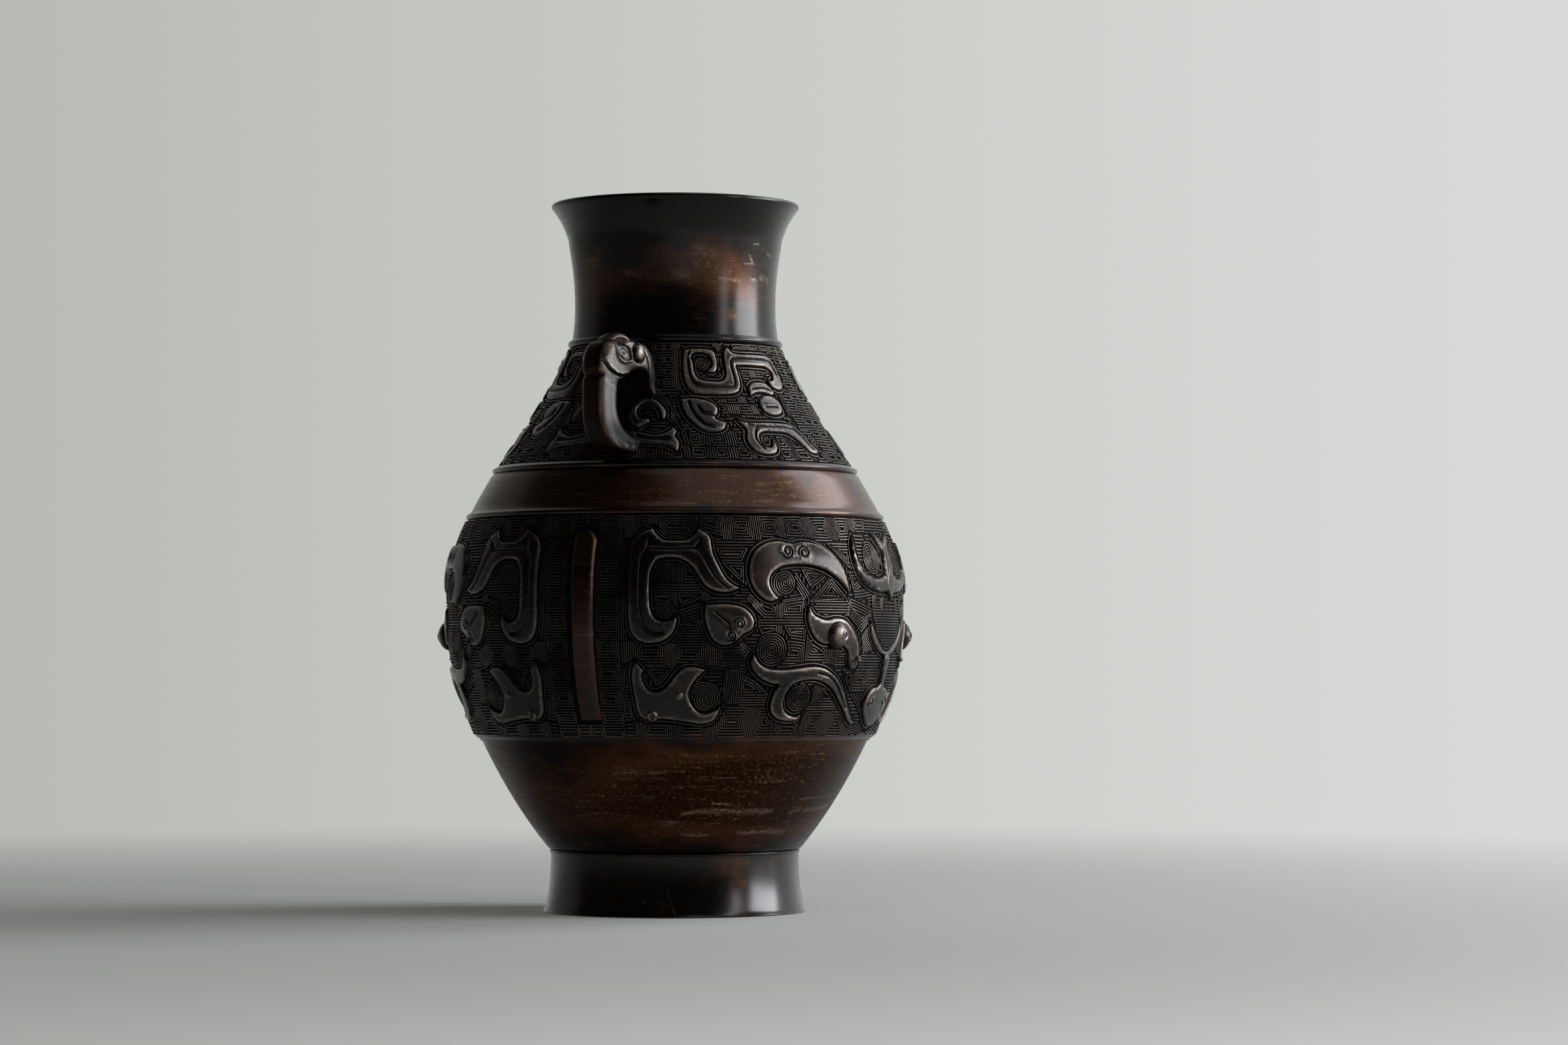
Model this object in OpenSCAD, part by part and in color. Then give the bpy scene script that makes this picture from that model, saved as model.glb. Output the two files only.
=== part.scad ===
// Cast bronze vase with two bird-head handles, in millimetres.
// The origin is the centre of the resting ring of the foot, and +Z is up.
// The handles stand on the X axis, and the two masks of the lower frieze face along Y.

/* [Foot] */
// Radius of the resting ring
foot_r = 66.8; // [60:0.1:75]
// Radius of the foot just under the body
waist_r = 63; // [56:0.1:68]
// Height of the foot
foot_h = 31; // [20:0.5:45]
// Wall of the foot ring
foot_wall = 3.4; // [2:0.1:6]
// Radius of the thin bead at the top of the foot
waist_bead = 0.8; // [0.4:0.1:2]

/* [Lower body] */
// Height of the plain lower body, from the foot to the lower frieze
lower_h = 58.3; // [40:0.5:80]
// Radius of the plain lower body at its top
lower_top_r = 98; // [88:0.5:106]
// Height of the small step up to the lower frieze
step_h = 2.4; // [1.5:0.1:5]

/* [Lower frieze] */
// Height of the lower frieze
lower_frieze_h = 110.7; // [95:0.5:130]
// Radius of the lower frieze at its lower edge
frieze_foot_r = 101.3; // [99:0.1:108]
// Largest radius of the belly, on the ground of the frieze
belly_r = 115.7; // [110:0.1:125]
// Height of the widest line above the lower edge of the frieze
belly_rise = 63.7; // [50:0.5:75]
// How far the eyes of the masks stand out of the ground
eye_rise = 3.4; // [1.5:0.1:5]
// Radius of an eye where it meets the ground
eye_r = 7.2; // [5:0.1:10]
// Angle from the middle of a mask to each of its eyes
eye_angle = 23.6; // [15:0.1:30]
// Height of the eyes above the lower edge of the frieze
eye_lift = 51.2; // [40:0.5:65]
// How far the nose of a mask stands out of the ground
nose_rise = 2.5; // [0.8:0.1:3]

/* [Flanges] */
// Width of the two vertical flanges at their top
flange_top_w = 8.6; // [5:0.1:14]
// Width of the flanges at their bottom
flange_foot_w = 8; // [5:0.1:14]
// How far the flanges stand out of the ground
flange_t = 2.8; // [1.5:0.1:4]
// Distance from each end of a flange to the edge of the frieze
flange_gap = 9.5; // [1:0.5:15]

/* [Belt] */
// Height of the plain belt between the friezes
belt_h = 23.5; // [15:0.5:35]
// Radius of the belt at its lower ring
belt_foot_r = 105.2; // [100:0.1:109]
// Radius of the belt at its upper ring
belt_top_r = 92; // [84:0.1:98]
// Radius of the bead that makes the lower ring
lower_bead = 1.6; // [0.8:0.1:2.5]
// Radius of the bead that makes the upper ring
upper_bead = 1.4; // [0.8:0.1:2.5]

/* [Shoulder and neck] */
// Height of the upper frieze on the shoulder
shoulder_h = 64.8; // [50:0.5:80]
// Radius of the neck at its foot
neck_foot_r = 53; // [48:0.1:60]
// Radius of the ring at the foot of the neck
neck_bead = 2.1; // [1:0.1:3]
// Smallest radius of the neck
neck_r = 51.2; // [45:0.1:56]
// Height of the neck with its flared lip
neck_h = 72; // [55:0.5:95]
// Largest radius of the lip
lip_r = 63.4; // [58:0.1:75]

/* [Casting] */
// Wall of the vessel
wall = 3; // [2:0.1:5]
// Thickness of the floor
floor_t = 4; // [2.5:0.1:8]

/* [Handles] */
// How far the back of a handle stands out past the upper ring of the belt
handle_out = 13.6; // [8:0.1:20]
// Height of the top of the bar above the upper ring of the belt
handle_top = 61.5; // [50:0.5:70]
// Width of the bar
bar_w = 14.3; // [9:0.1:18]
// Width of the head at its cheeks
head_w = 17; // [12:0.1:22]
// How far a handle is turned out of the radial plane
handle_twist = 20; // [0:1:25]
// Radius of the round cap of the crest
crest_r = 12; // [9:0.1:14]
// Width of the crest
crest_w = 9.6; // [6:0.1:14]

/* [Hidden] */
$fn = 96;

bronze = [0.30, 0.24, 0.20];
worn_bronze = [0.50, 0.44, 0.38];

// Heights of the bands, each stacked on the one under it
z_waist = foot_h;
z_frieze = z_waist + lower_h;
z_belly = z_frieze + belly_rise;
z_belt = z_frieze + lower_frieze_h;
z_shoulder = z_belt + belt_h;
z_neck = z_shoulder + shoulder_h;
z_rim = z_neck + neck_h;

// Smooth curves with two and with one control point between their ends
function cubic(a, b, c, d, n) = [for (i = [0:n]) let (t = i / n, s = 1 - t)
    s * s * s * a + 3 * s * s * t * b + 3 * s * t * t * c + t * t * t * d];
function bow(a, b, c, n) = [for (i = [0:n]) let (t = i / n, s = 1 - t)
    s * s * a + 2 * s * t * b + t * t * c];

// All points of a list but the first
function rest(p) = [for (i = [1:len(p) - 1]) p[i]];

// The line moved to its left by d, along its own normals
function inset(p, d) = [for (i = [0:len(p) - 1])
    let (a = p[max(i - 1, 0)], b = p[min(i + 1, len(p) - 1)], t = (b - a) / norm(b - a))
    p[i] + d * [-t[1], t[0]]];

function reversed(p) = [for (i = [len(p) - 1:-1:0]) p[i]];

// The outside of each band, from the foot up, as [radius, height]
foot_line = bow([foot_r, 0], [waist_r - 0.2, foot_h * 0.3], [waist_r, z_waist], 8);
lower_line = bow([waist_r, z_waist],
    [waist_r + 0.54 * (lower_top_r - waist_r), z_waist + 0.385 * lower_h],
    [lower_top_r, z_frieze - step_h], 14);
frieze_low = bow([frieze_foot_r, z_frieze], [belly_r, z_frieze + 0.53 * belly_rise],
    [belly_r, z_belly], 12);
top_rise = z_belt - z_belly;
frieze_high = cubic([belly_r, z_belly], [belly_r + 0.2, z_belly + 0.42 * top_rise],
    [belly_r - 0.13 * (belly_r - belt_foot_r), z_belly + 0.57 * top_rise],
    [belt_foot_r, z_belt], 12);
belt_line = bow([belt_foot_r, z_belt],
    [(belt_foot_r + belt_top_r) / 2 + 0.5, (z_belt + z_shoulder) / 2], [belt_top_r, z_shoulder], 5);
shoulder_line = bow([belt_top_r - 0.6, z_shoulder],
    [neck_foot_r + 0.28 * (belt_top_r - neck_foot_r), z_shoulder + 0.55 * shoulder_h],
    [neck_foot_r, z_neck], 14);
z_slim = z_neck + 0.28 * neck_h;
neck_low = bow([neck_foot_r, z_neck], [neck_r, z_neck + 0.12 * neck_h], [neck_r, z_slim], 6);
lip_start = [neck_r + 0.28 * (lip_r - neck_r), z_neck + 0.74 * neck_h];
lip_end = [lip_r - 0.2, z_rim - 0.75 * wall];
neck_high = cubic([neck_r, z_slim], [neck_r, z_slim + 0.42 * (lip_start[1] - z_slim)],
    lip_start - [1.5, 0.32 * (lip_start[1] - z_slim)], lip_start, 8);
lip_line = cubic(lip_start, lip_start + [1.6, 6], lip_end - [4, 4.6], lip_end, 8);

// The outside without its rings, and the inside one wall away from it
shell_line = concat(lower_line, frieze_low, rest(frieze_high), rest(belt_line), shoulder_line,
    rest(neck_low), rest(neck_high), rest(lip_line));
inside_all = inset(shell_line, wall);
z_floor = z_waist + floor_t * 0.7;
z_ceiling = z_floor - floor_t;
inside_line = [for (p = inside_all) if (p[1] > z_floor + 1) p];
floor_line = bow([0, z_floor], [inside_line[0][0] - 9, z_floor], inside_line[0], 5);
foot_inside = [for (p = inset(foot_line, foot_wall)) if (p[1] > 0.5 && p[1] < z_ceiling - 1) p];
foot_inner_r = foot_r - foot_wall;

// The vessel's half section, foot ring and lip included
module vessel_section() {
    polygon(concat(foot_line, rest(shell_line), reversed(inside_line),
        reversed([for (p = floor_line) if (p[0] < inside_line[0][0]) p]),
        [[0, z_ceiling], [waist_r - foot_wall - 1, z_ceiling]], reversed(foot_inside),
        [[foot_inner_r, 0]]));
    // Round edge of the lip
    rim = (lip_end + inside_line[len(inside_line) - 1]) / 2;
    translate(rim) circle(r = wall / 2, $fn = 32);
    // Raised rings at the belt, the foot of the neck and the top of the foot
    translate([belt_foot_r - 0.4, z_belt]) circle(r = lower_bead, $fn = 32);
    translate([belt_top_r - 0.3, z_shoulder]) circle(r = upper_bead, $fn = 32);
    translate([neck_foot_r - 0.4, z_neck]) circle(r = neck_bead, $fn = 32);
    translate([waist_r - 0.1, z_waist]) circle(r = waist_bead, $fn = 24);
}

// Half section of a band that covers the lower frieze from 1 mm under its ground to t above it
module frieze_skin(t) {
    ground = concat(frieze_low, rest(frieze_high));
    polygon(concat(inset(ground, 1), reversed(inset(ground, -t))));
}

// One vertical flange on the side that faces along -X
module flange() {
    low = z_frieze + flange_gap;
    high = z_belt - flange_gap;
    intersection() {
        rotate_extrude() frieze_skin(flange_t);
        rotate([90, 0, -90]) linear_extrude(belly_r + 10)
            polygon([[-flange_foot_w / 2, low], [flange_foot_w / 2, low],
                [flange_top_w / 2, high], [-flange_top_w / 2, high]]);
    }
}

// One domed eye, on the side that faces along -Y
module eye_boss() {
    ball_r = (eye_r * eye_r + eye_rise * eye_rise) / (2 * eye_rise);
    translate([0, -(belly_r + eye_rise - ball_r), z_frieze + eye_lift]) sphere(r = ball_r, $fn = 48);
}

// The nose of a mask, from its brow to its muzzle, on the side that faces along -Y
nose_outline = [[5, 92], [6.5, 84], [4.2, 68], [3.6, 48], [5.6, 32], [9.5, 22], [8.5, 13], [3, 9]];
module nose() {
    side = [for (p = nose_outline) [p[0], z_frieze + p[1]]];
    intersection() {
        rotate_extrude() frieze_skin(nose_rise);
        rotate([90, 0, 0]) linear_extrude(belly_r + 10)
            polygon(concat(side, reversed([for (p = side) [-p[0], p[1]]])));
    }
}

module vessel() {
    color(bronze) {
        rotate_extrude() vessel_section();
        for (side = [0, 180]) rotate([0, 0, side]) {
            flange();
            nose();
            for (turn = [-eye_angle, eye_angle]) rotate([0, 0, turn]) eye_boss();
        }
    }
}

// The vessel's outside as one full solid, which trims whatever is brazed to it
module vessel_outside() {
    rotate_extrude() polygon(concat([[0, z_waist]], shell_line, [[0, z_rim]]));
}

// The plane of a handle: u runs from its back towards the vessel, and heights count from the
// top of the bar. wall_u is where the shoulder's outside lies in that plane.
handle_reach = belt_top_r + handle_out;
z_handle = z_shoulder + handle_top;
function wall_r(h) = lookup(z_handle + h, [for (p = shoulder_line) [p[1], p[0]]]);
function wall_u(h) = handle_reach * cos(handle_twist)
    - sqrt(pow(wall_r(h), 2) - pow(handle_reach * sin(handle_twist), 2));

// Sections of a handle, from its root up the bar and along the head to the tip of the beak, as
// [outer u, outer height, inner u, inner height, share of the width]. Both ends lie in the wall.
bar_stations = [
    [wall_u(-58.5) + 6, -58.5, wall_u(-47) + 4, -47, 1.2],
    [13, -55, 26, -48.5, 1.15],
    [6.6, -52.5, 19.5, -45.2, 1.08],
    [2.6, -47.5, 16, -41, 1.02],
    [0.6, -40.5, 14, -36, 1],
    [0, -30, 13.4, -29.5, 1],
    [0.2, -21, 14.4, -21.5, 1],
    [0.3, -17, 16.8, -19.6, 1.01]];
head_stations = [
    [-0.4, -14, 20.5, -18.4, 1],
    [0.6, -7.5, 22.5, -17, 1.02],
    [4.6, -2, 24.5, -16.2, 1.04],
    [12, 0, 27, -15.6, 1.04],
    [20, 0.4, 29.5, -15.6, 1.02],
    [27.5, -0.2, 31.6, -16, 0.98],
    [33.5, -1.6, 33.3, -16.8, 0.92],
    [38.4, -5, 34.8, -17.8, 0.82],
    [41.8, -9.6, 36.6, -19, 0.68],
    [43.6, -14.6, 38.2, -20.4, 0.54],
    [43.9, -19, 39.6, -22, 0.42],
    [45, -24, 41.6, -24.6, 0.34],
    [48, -28.5, 45.6, -29, 0.3]];

// The bar is as long as its height asks, and the beak reaches out until its tip is in the wall
bar_end = -22;
beak_start = 25;
function along_bar(h) = h > bar_end ? h : bar_end + (h - bar_end) * (handle_top + bar_end) / 39.5;
beak_share = (wall_u(-28.5) + 1.5 - beak_start) / 23;
function along_beak(u) = u < beak_start ? u : beak_start + (u - beak_start) * beak_share;
stations = concat([for (s = bar_stations) [s[0], along_bar(s[1]), s[2], along_bar(s[3]),
        s[4] * bar_w / 2]],
    [for (s = head_stations) [along_beak(s[0]), s[1], along_beak(s[2]), s[3], s[4] * head_w / 2]]);

// One value of the smooth line through four values, between the second and the third
function through(a, b, c, d, t) = b + 0.5 * t * (c - a + t * (2 * a - 5 * b + 4 * c - d
    + t * (3 * (b - c) + d - a)));
ring_steps = 3;
last = len(stations) - 1;
function station(i) = stations[min(max(i, 0), last)];
rings = [for (i = [0:last - 1], k = [0:(i == last - 1 ? ring_steps : ring_steps - 1)])
    through(station(i - 1), station(i), station(i + 1), station(i + 2), k / ring_steps)];

// The outline of one section: a rounded rectangle, fuller than an oval
ring_sides = 18;
function full(v) = sign(v) * pow(abs(v), 0.62);
function ring_points(s) = let (mid = [(s[0] + s[2]) / 2, (s[1] + s[3]) / 2],
        half = [(s[0] - s[2]) / 2, (s[1] - s[3]) / 2])
    [for (k = [0:ring_sides - 1]) let (a = 360 * (k + 0.5) / ring_sides,
            p = mid + half * full(cos(a)))
        [p[0], s[4] * full(sin(a)), z_handle + p[1]]];

// A closed skin over a row of rings that all have the same number of points
module skin(rows, sides) {
    count = len(rows);
    polyhedron(
        points = [for (row = rows, p = row) p],
        faces = concat(
            [[for (k = [sides - 1:-1:0]) k]],
            [for (i = [0:count - 2], k = [0:sides - 1]) let (m = (k + 1) % sides)
                [i * sides + k, i * sides + m, (i + 1) * sides + m, (i + 1) * sides + k]],
            [[for (k = [0:sides - 1]) (count - 1) * sides + k]]));
}

// Two ringed eyes and two nostril bosses, one of each on each cheek
module face_bosses() {
    for (s = [-1, 1]) {
        translate([15.4, s * (head_w / 2 - 1.2), z_handle - 6.8]) rotate([90, 0, 0]) {
            sphere(r = 2.9, $fn = 32);
            rotate_extrude($fn = 48) translate([4, 0.2 * s]) circle(r = 1.1, $fn = 20);
        }
        translate([26, s * (head_w / 2 - 2.7), z_handle - 6.6]) sphere(r = 3.6, $fn = 32);
    }
}

// The rounded crest over the top of the head
module crest() {
    edge = crest_w * 0.35;
    translate([17, 0, z_handle + 3.6 - crest_r]) rotate([90, 0, 0]) rotate_extrude($fn = 64)
        union() {
            translate([0, -crest_w / 2]) square([crest_r - edge, crest_w]);
            translate([crest_r - edge, 0]) square([2 * edge, crest_w - 2 * edge], center = true);
            for (s = [-1, 1]) translate([crest_r - edge, s * (crest_w / 2 - edge)])
                circle(r = edge, $fn = 24);
        }
}

// A handle on the side that faces along -X, its feet trimmed flush to the vessel
module handle() {
    difference() {
        translate([-handle_reach, 0, 0]) rotate([0, 0, -handle_twist]) {
            skin([for (s = rings) ring_points(s)], ring_sides);
            face_bosses();
            crest();
        }
        vessel_outside();
    }
}

module handle_left() { color(worn_bronze) handle(); }
module handle_right() { color(worn_bronze) rotate([0, 0, 180]) handle(); }

vessel();
handle_left();
handle_right();
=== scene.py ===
import math

import bpy
import numpy as np
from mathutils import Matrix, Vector, geometry


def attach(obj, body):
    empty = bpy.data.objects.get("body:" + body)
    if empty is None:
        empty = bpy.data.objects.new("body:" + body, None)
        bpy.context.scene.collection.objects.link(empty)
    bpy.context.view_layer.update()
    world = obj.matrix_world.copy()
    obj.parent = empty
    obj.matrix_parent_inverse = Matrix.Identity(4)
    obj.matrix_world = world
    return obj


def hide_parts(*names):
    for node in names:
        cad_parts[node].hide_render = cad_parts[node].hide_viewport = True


MM = 0.001

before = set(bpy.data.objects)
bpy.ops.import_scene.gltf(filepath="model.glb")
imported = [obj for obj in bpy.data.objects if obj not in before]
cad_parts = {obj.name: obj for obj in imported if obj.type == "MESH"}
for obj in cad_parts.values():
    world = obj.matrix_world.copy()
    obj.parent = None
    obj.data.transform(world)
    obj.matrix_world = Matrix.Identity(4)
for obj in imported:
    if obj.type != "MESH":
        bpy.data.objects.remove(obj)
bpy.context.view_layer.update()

# Profile of the vessel, the same sizes as the CAD part: radii (R), heights over the floor (Z) and thicknesses
FOOT_R, WAIST_R, FOOT_H = 66.8, 63.0, 31.0
LOWER_TOP_R, STEP_H = 98.0, 2.4
FRIEZE_Z, FRIEZE_R = 89.3, 101.3
BELLY_Z, BELLY_R = 153.0, 115.7
BELT_Z, BELT_R, BELT_TOP_R = 200.0, 105.2, 92.0
SHOULDER_Z, NECK_Z, RIM_Z = 223.5, 288.3, 360.3
NECK_FOOT_R, NECK_R = 53.0, 51.2
WALL, FOOT_WALL, FLOOR_Z, CEILING_Z = 3.0, 3.4, 33.8, 29.8


def bezier(points, steps):
    """A smooth line of [r, z] through the first and last of three or four points."""
    p = np.array(points, float)
    t = np.linspace(0, 1, steps + 1)[:, None]
    if len(p) == 3:
        return (1 - t) ** 2 * p[0] + 2 * t * (1 - t) * p[1] + t ** 2 * p[2]
    return ((1 - t) ** 3 * p[0] + 3 * t * (1 - t) ** 2 * p[1]
            + 3 * t ** 2 * (1 - t) * p[2] + t ** 3 * p[3])


def bead(r, z, size, start, end, steps=7):
    """A round raised ring, as an arc from one angle to another; 0 degrees points outwards."""
    a = np.radians(np.linspace(start, end, steps))
    return np.column_stack([r + size * np.cos(a), z + size * np.sin(a)])


foot_line = bezier([(FOOT_R, 0), (WAIST_R - 0.2, 9.3), (WAIST_R, FOOT_H)], 14)
lower_line = bezier([(WAIST_R, FOOT_H), (81.9, 53.4), (LOWER_TOP_R, FRIEZE_Z - STEP_H)], 26)
frieze_low = bezier([(FRIEZE_R, FRIEZE_Z), (BELLY_R, 123.1), (BELLY_R, BELLY_Z)], 24)
frieze_high = bezier([(BELLY_R, BELLY_Z), (115.9, 172.7), (114.3, 179.8), (BELT_R, BELT_Z)], 24)
belt_line = bezier([(BELT_R, BELT_Z), (99.1, 211.8), (BELT_TOP_R, SHOULDER_Z)], 8)
shoulder_line = bezier([(BELT_TOP_R - 0.6, SHOULDER_Z), (63.9, 259.1), (NECK_FOOT_R, NECK_Z)], 26)
neck_low = bezier([(NECK_FOOT_R, NECK_Z), (NECK_R, 296.9), (NECK_R, 308.5)], 8)
lip_start, lip_end = (54.6, 341.6), (63.2, 358.1)
neck_high = bezier([(NECK_R, 308.5), (NECK_R, 322.4), (53.1, 331.0), lip_start], 14)
lip_line = bezier([lip_start, (56.2, 347.6), (59.2, 353.5), lip_end], 12)

lower_frieze = np.vstack([frieze_low, frieze_high[1:]])
FRIEZES = {"lower": lower_frieze, "upper": shoulder_line}


def ground(frieze, z):
    """Radius of a frieze's ground at a height, and its outward normal as (radial, up)."""
    line = FRIEZES[frieze]
    r = np.interp(z, line[:, 1], line[:, 0])
    rise = (np.interp(z + 0.5, line[:, 1], line[:, 0]) - np.interp(z - 0.5, line[:, 1], line[:, 0]))
    n = np.sqrt(1 + rise ** 2)
    return r, 1 / n, -rise / n


# Outlines of the relief, as [s, z] points of one quarter; a third value marks a sharp corner
C_SCROLL = [(12, 145), (11.8, 160), (12, 175), (12.4, 184), (14.6, 189), (17.6, 191.3, 1),
    (18.7, 188.2), (20.5, 185.7), (23, 185.3), (26, 185.6), (27.9, 188.3), (28.8, 191.8, 1),
    (31.8, 187), (32.5, 179), (34.3, 171), (36, 166), (39, 162.2, 1), (35.8, 160), (32.9, 160.5),
    (30.4, 163), (28.5, 168.5), (26.9, 173), (24, 176.3), (20, 176.3), (18.5, 174.5), (17.3, 169),
    (17.1, 160), (17.4, 152), (18.6, 147.6), (20.5, 146.3), (22.6, 147.6), (23.3, 149.6, 1),
    (23.7, 146), (23, 141.5), (21.3, 137.8), (19.1, 135.9), (16.1, 135.6), (13.6, 138)]
C_SCROLL_GROOVES = [
    [(16.6, 185), (16.3, 181), (14.9, 176), (14.7, 160), (15, 150), (16.1, 143.5), (18.1, 141),
     (20.4, 141)],
    [(17.1, 181.2), (22, 180.9), (27.9, 181), (29.9, 177.5), (31.9, 170.5), (33.8, 165.5), (35.8, 162.4)],
    [(28.1, 181.6), (29.3, 184.5)],
]
LEAF_EAR = [(30.2, 154.3, 1), (34.8, 155), (38.8, 154), (41.2, 151), (42.5, 146.5), (42, 142.3),
    (40, 140.2), (38.8, 138), (37.3, 135.5), (34.8, 134.6), (32.4, 136.8), (30.9, 142), (30.1, 148)]
LEAF_EAR_GROOVES = [
    [(32.6, 151), (34.3, 148.3), (36.3, 145)],
]
CRESCENT = [(41.7, 177), (41, 172), (41.3, 166), (42.7, 160.5), (44.7, 157), (46.6, 155.6),
    (49.1, 157.2, 1), (47.6, 160), (46.5, 164), (46.8, 168), (48.1, 170.6), (50.5, 172.8),
    (55.4, 173.5), (59.4, 172.8), (63.3, 170.5), (67.1, 166), (70.4, 160.5, 1), (70, 164),
    (68.8, 171.5), (66.2, 178), (63.3, 182), (60.3, 184.5), (56.4, 185.3), (53.5, 184.3),
    (49.6, 185.5), (46.1, 184.3), (43.2, 181)]
EYE_SLOT = [(57.3, 154.4, 1), (58.8, 150.2), (60.6, 148.4), (62.7, 147.5), (65.1, 148.3), (68.1, 148.1),
    (70.2, 146.2), (72.1, 142.7), (73.8, 138.5), (74.8, 134.7), (75.2, 130), (75.2, 125.8), (74, 123.1),
    (72.4, 123.9), (71.5, 127.2), (71.1, 131), (70, 133.3, 1), (67.3, 135.6), (64.1, 135.1), (61.6, 135.6),
    (59.4, 138.1), (57.7, 142.5), (56.8, 147.6), (56.8, 151.3)]
S_SCROLL = [(42.7, 131, 1), (44.2, 126.5), (46.6, 124), (50.5, 123.3), (54.5, 124), (59.4, 125),
    (63.3, 124), (66.2, 121.5), (68.6, 118.5), (71, 114), (73.4, 108), (75.8, 103), (78.2, 99),
    (80.6, 97.2, 1), (78.7, 96.2), (75.8, 99), (73.9, 102.5), (71, 107), (68.1, 112), (65.2, 115.5),
    (62.3, 117.5), (59.4, 118), (55.2, 116.8), (53.1, 113.5), (52.2, 108.5), (52.7, 104),
    (54.1, 101.6), (56.4, 100.5), (58.8, 101.6, 1), (56.9, 98.3), (53.5, 98), (50.5, 99.5),
    (48.6, 103), (48.3, 108), (49, 113), (50, 115.6, 1), (47.1, 116.6), (44.2, 119.6), (42.2, 123.8),
    (41.8, 128)]
S_SCROLL_GROOVES = [
    [(61.3, 121.5), (65.2, 119.8), (68.1, 116), (71, 110), (73.9, 104.5)],
]
BEAST = [(13.4, 127, 1), (15.3, 123), (15.1, 119.5), (15.5, 116), (16.7, 113.3), (18.6, 112.8),
    (20.5, 114.5), (22, 117.5), (23.5, 121.5), (25.5, 124.3), (28.4, 124.5), (30.9, 123, 1),
    (28.6, 118.5), (27.1, 114), (26.8, 110), (27.7, 105.8), (29.9, 102.2), (32.5, 103),
    (35.3, 105.8, 1), (33.8, 99), (30.4, 96.6), (26, 97.6), (20, 99), (15.6, 98.6), (13.5, 102),
    (12.8, 109), (12.3, 118), (12.6, 124)]
BROW = [(75.2, 189.3, 1), (73.5, 184.5), (72.9, 178), (73.7, 172), (75.8, 166.5), (79.2, 163),
    (83.4, 161.3), (88, 161), (90.9, 163), (92.4, 168), (92.5, 176), (90.9, 184), (87.1, 189.5),
    (84.3, 190.3, 1), (86.6, 185), (88.5, 180), (88.9, 175.5), (87.8, 171.3), (85.7, 169.2),
    (82.5, 168.6), (78.9, 169.8), (76.4, 172.5), (74.8, 177), (74.5, 182)]
BAND = [(26.9, 281.5, 1), (26.3, 275), (26.5, 268), (27.5, 263.5), (29.9, 260), (32.8, 258.8),
    (44.6, 258.7), (49.5, 259.5), (52.2, 261.6), (53.4, 265), (53.6, 270), (53.4, 274, 1),
    (59.3, 274.2), (67.1, 274.1), (72.3, 273.8), (74.6, 271.5), (74.1, 268.7), (71.9, 267.3),
    (69.8, 268.2, 1), (70.2, 264.8), (72.6, 262.8), (75.7, 262.2), (79, 263.8), (80.2, 268), (80, 274),
    (78.1, 278.5), (74.7, 280.4), (65.1, 280.5), (54.4, 280.6), (51.5, 282.7), (50.3, 284, 1),
    (48.1, 281.3), (47.2, 277.5), (47, 272), (46.3, 268.3), (44.2, 266.1), (39.7, 265.8), (35, 266.5),
    (32.8, 268.3), (32, 271), (31.7, 275), (30.9, 278.3, 1), (32.8, 279.9), (36.8, 280.1), (39.6, 279),
    (40.7, 276.3), (40.5, 273.5), (38.3, 271.6), (37.6, 270.3, 1), (41.3, 270), (43.2, 272.3),
    (43.8, 276.5), (43, 280.8), (39.7, 282.5), (32.8, 282.7), (28.9, 282.3)]
BAND_GROOVES = [
    [(29.9, 280.5), (29.3, 277), (29.5, 270), (30.4, 266), (32.3, 263.6), (34.8, 262.8), (47.6, 262.9),
     (50.1, 264), (50.7, 268), (50.5, 274), (51.7, 277.2), (55.4, 278), (73.8, 277.8), (77.2, 275.5),
     (78, 270.5)],
]
LIP_ARC = [(56.2, 258.4, 1), (56.6, 262.5), (58.8, 265.3), (62.7, 266.3), (67.1, 265.8), (69.9, 263.2),
    (71.1, 260.2, 1), (68.5, 259.3), (65.1, 260.4), (60.3, 260.2)]
LIP_ARC_GROOVES = [
    [(58.8, 262.4), (64.1, 263.1), (69, 262)],
]
OVAL = [(59.3, 254), (60.3, 257.2), (63.7, 259.2), (67.1, 259.2), (70.4, 257), (71.2, 254),
    (70.4, 250.6), (67.1, 249), (63.2, 249), (60.3, 250.8)]
OVAL_GROOVES = [
    [(62.7, 253.2), (68.5, 253.3)],
]
COMMA = [(25, 256.6, 1), (25.4, 253), (26.9, 248), (29.4, 244), (31.9, 241.2), (34.8, 239.5),
    (38.7, 239.6), (41.3, 241.3), (42.5, 244.5, 1), (40.1, 245.6), (38.3, 246.9), (40, 250),
    (39.4, 253.3), (36.3, 255.8), (30.9, 257)]
COMMA_GROOVES = [
    [(28.4, 254.6), (29.3, 251), (31.1, 247), (33.6, 243.5), (37, 241.8)],
    [(32.1, 252), (33.8, 249), (38, 248)],
]
FORK = [(45.9, 247.3, 1), (48.9, 245.3), (51.5, 245), (59.3, 245.1), (68, 245.1), (71.9, 244),
    (74.7, 240.5), (77.1, 234.5), (79.1, 230.2, 1), (76.3, 229.7), (73.8, 230.6), (71.9, 233.6),
    (69.6, 237.3), (66.6, 239.7), (61.2, 240.1), (56.4, 240), (54.2, 238.4), (53.6, 236), (54, 233.6),
    (55.4, 232.4), (57.3, 232.9), (59, 237.8, 1), (59.5, 234), (59.3, 231), (57.5, 229), (54.4, 228.3),
    (51.5, 229), (49.5, 230.6), (48.4, 233.5), (48.3, 236.5), (49.3, 240.5), (48.1, 243)]
FORK_GROOVES = [
    [(51, 243.9), (54.4, 243.1), (69, 243), (72.2, 241.3), (74.7, 237), (76.6, 232.3)],
    [(53.4, 241), (52.3, 238), (52.5, 234.6), (54, 231.3)],
]
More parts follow.
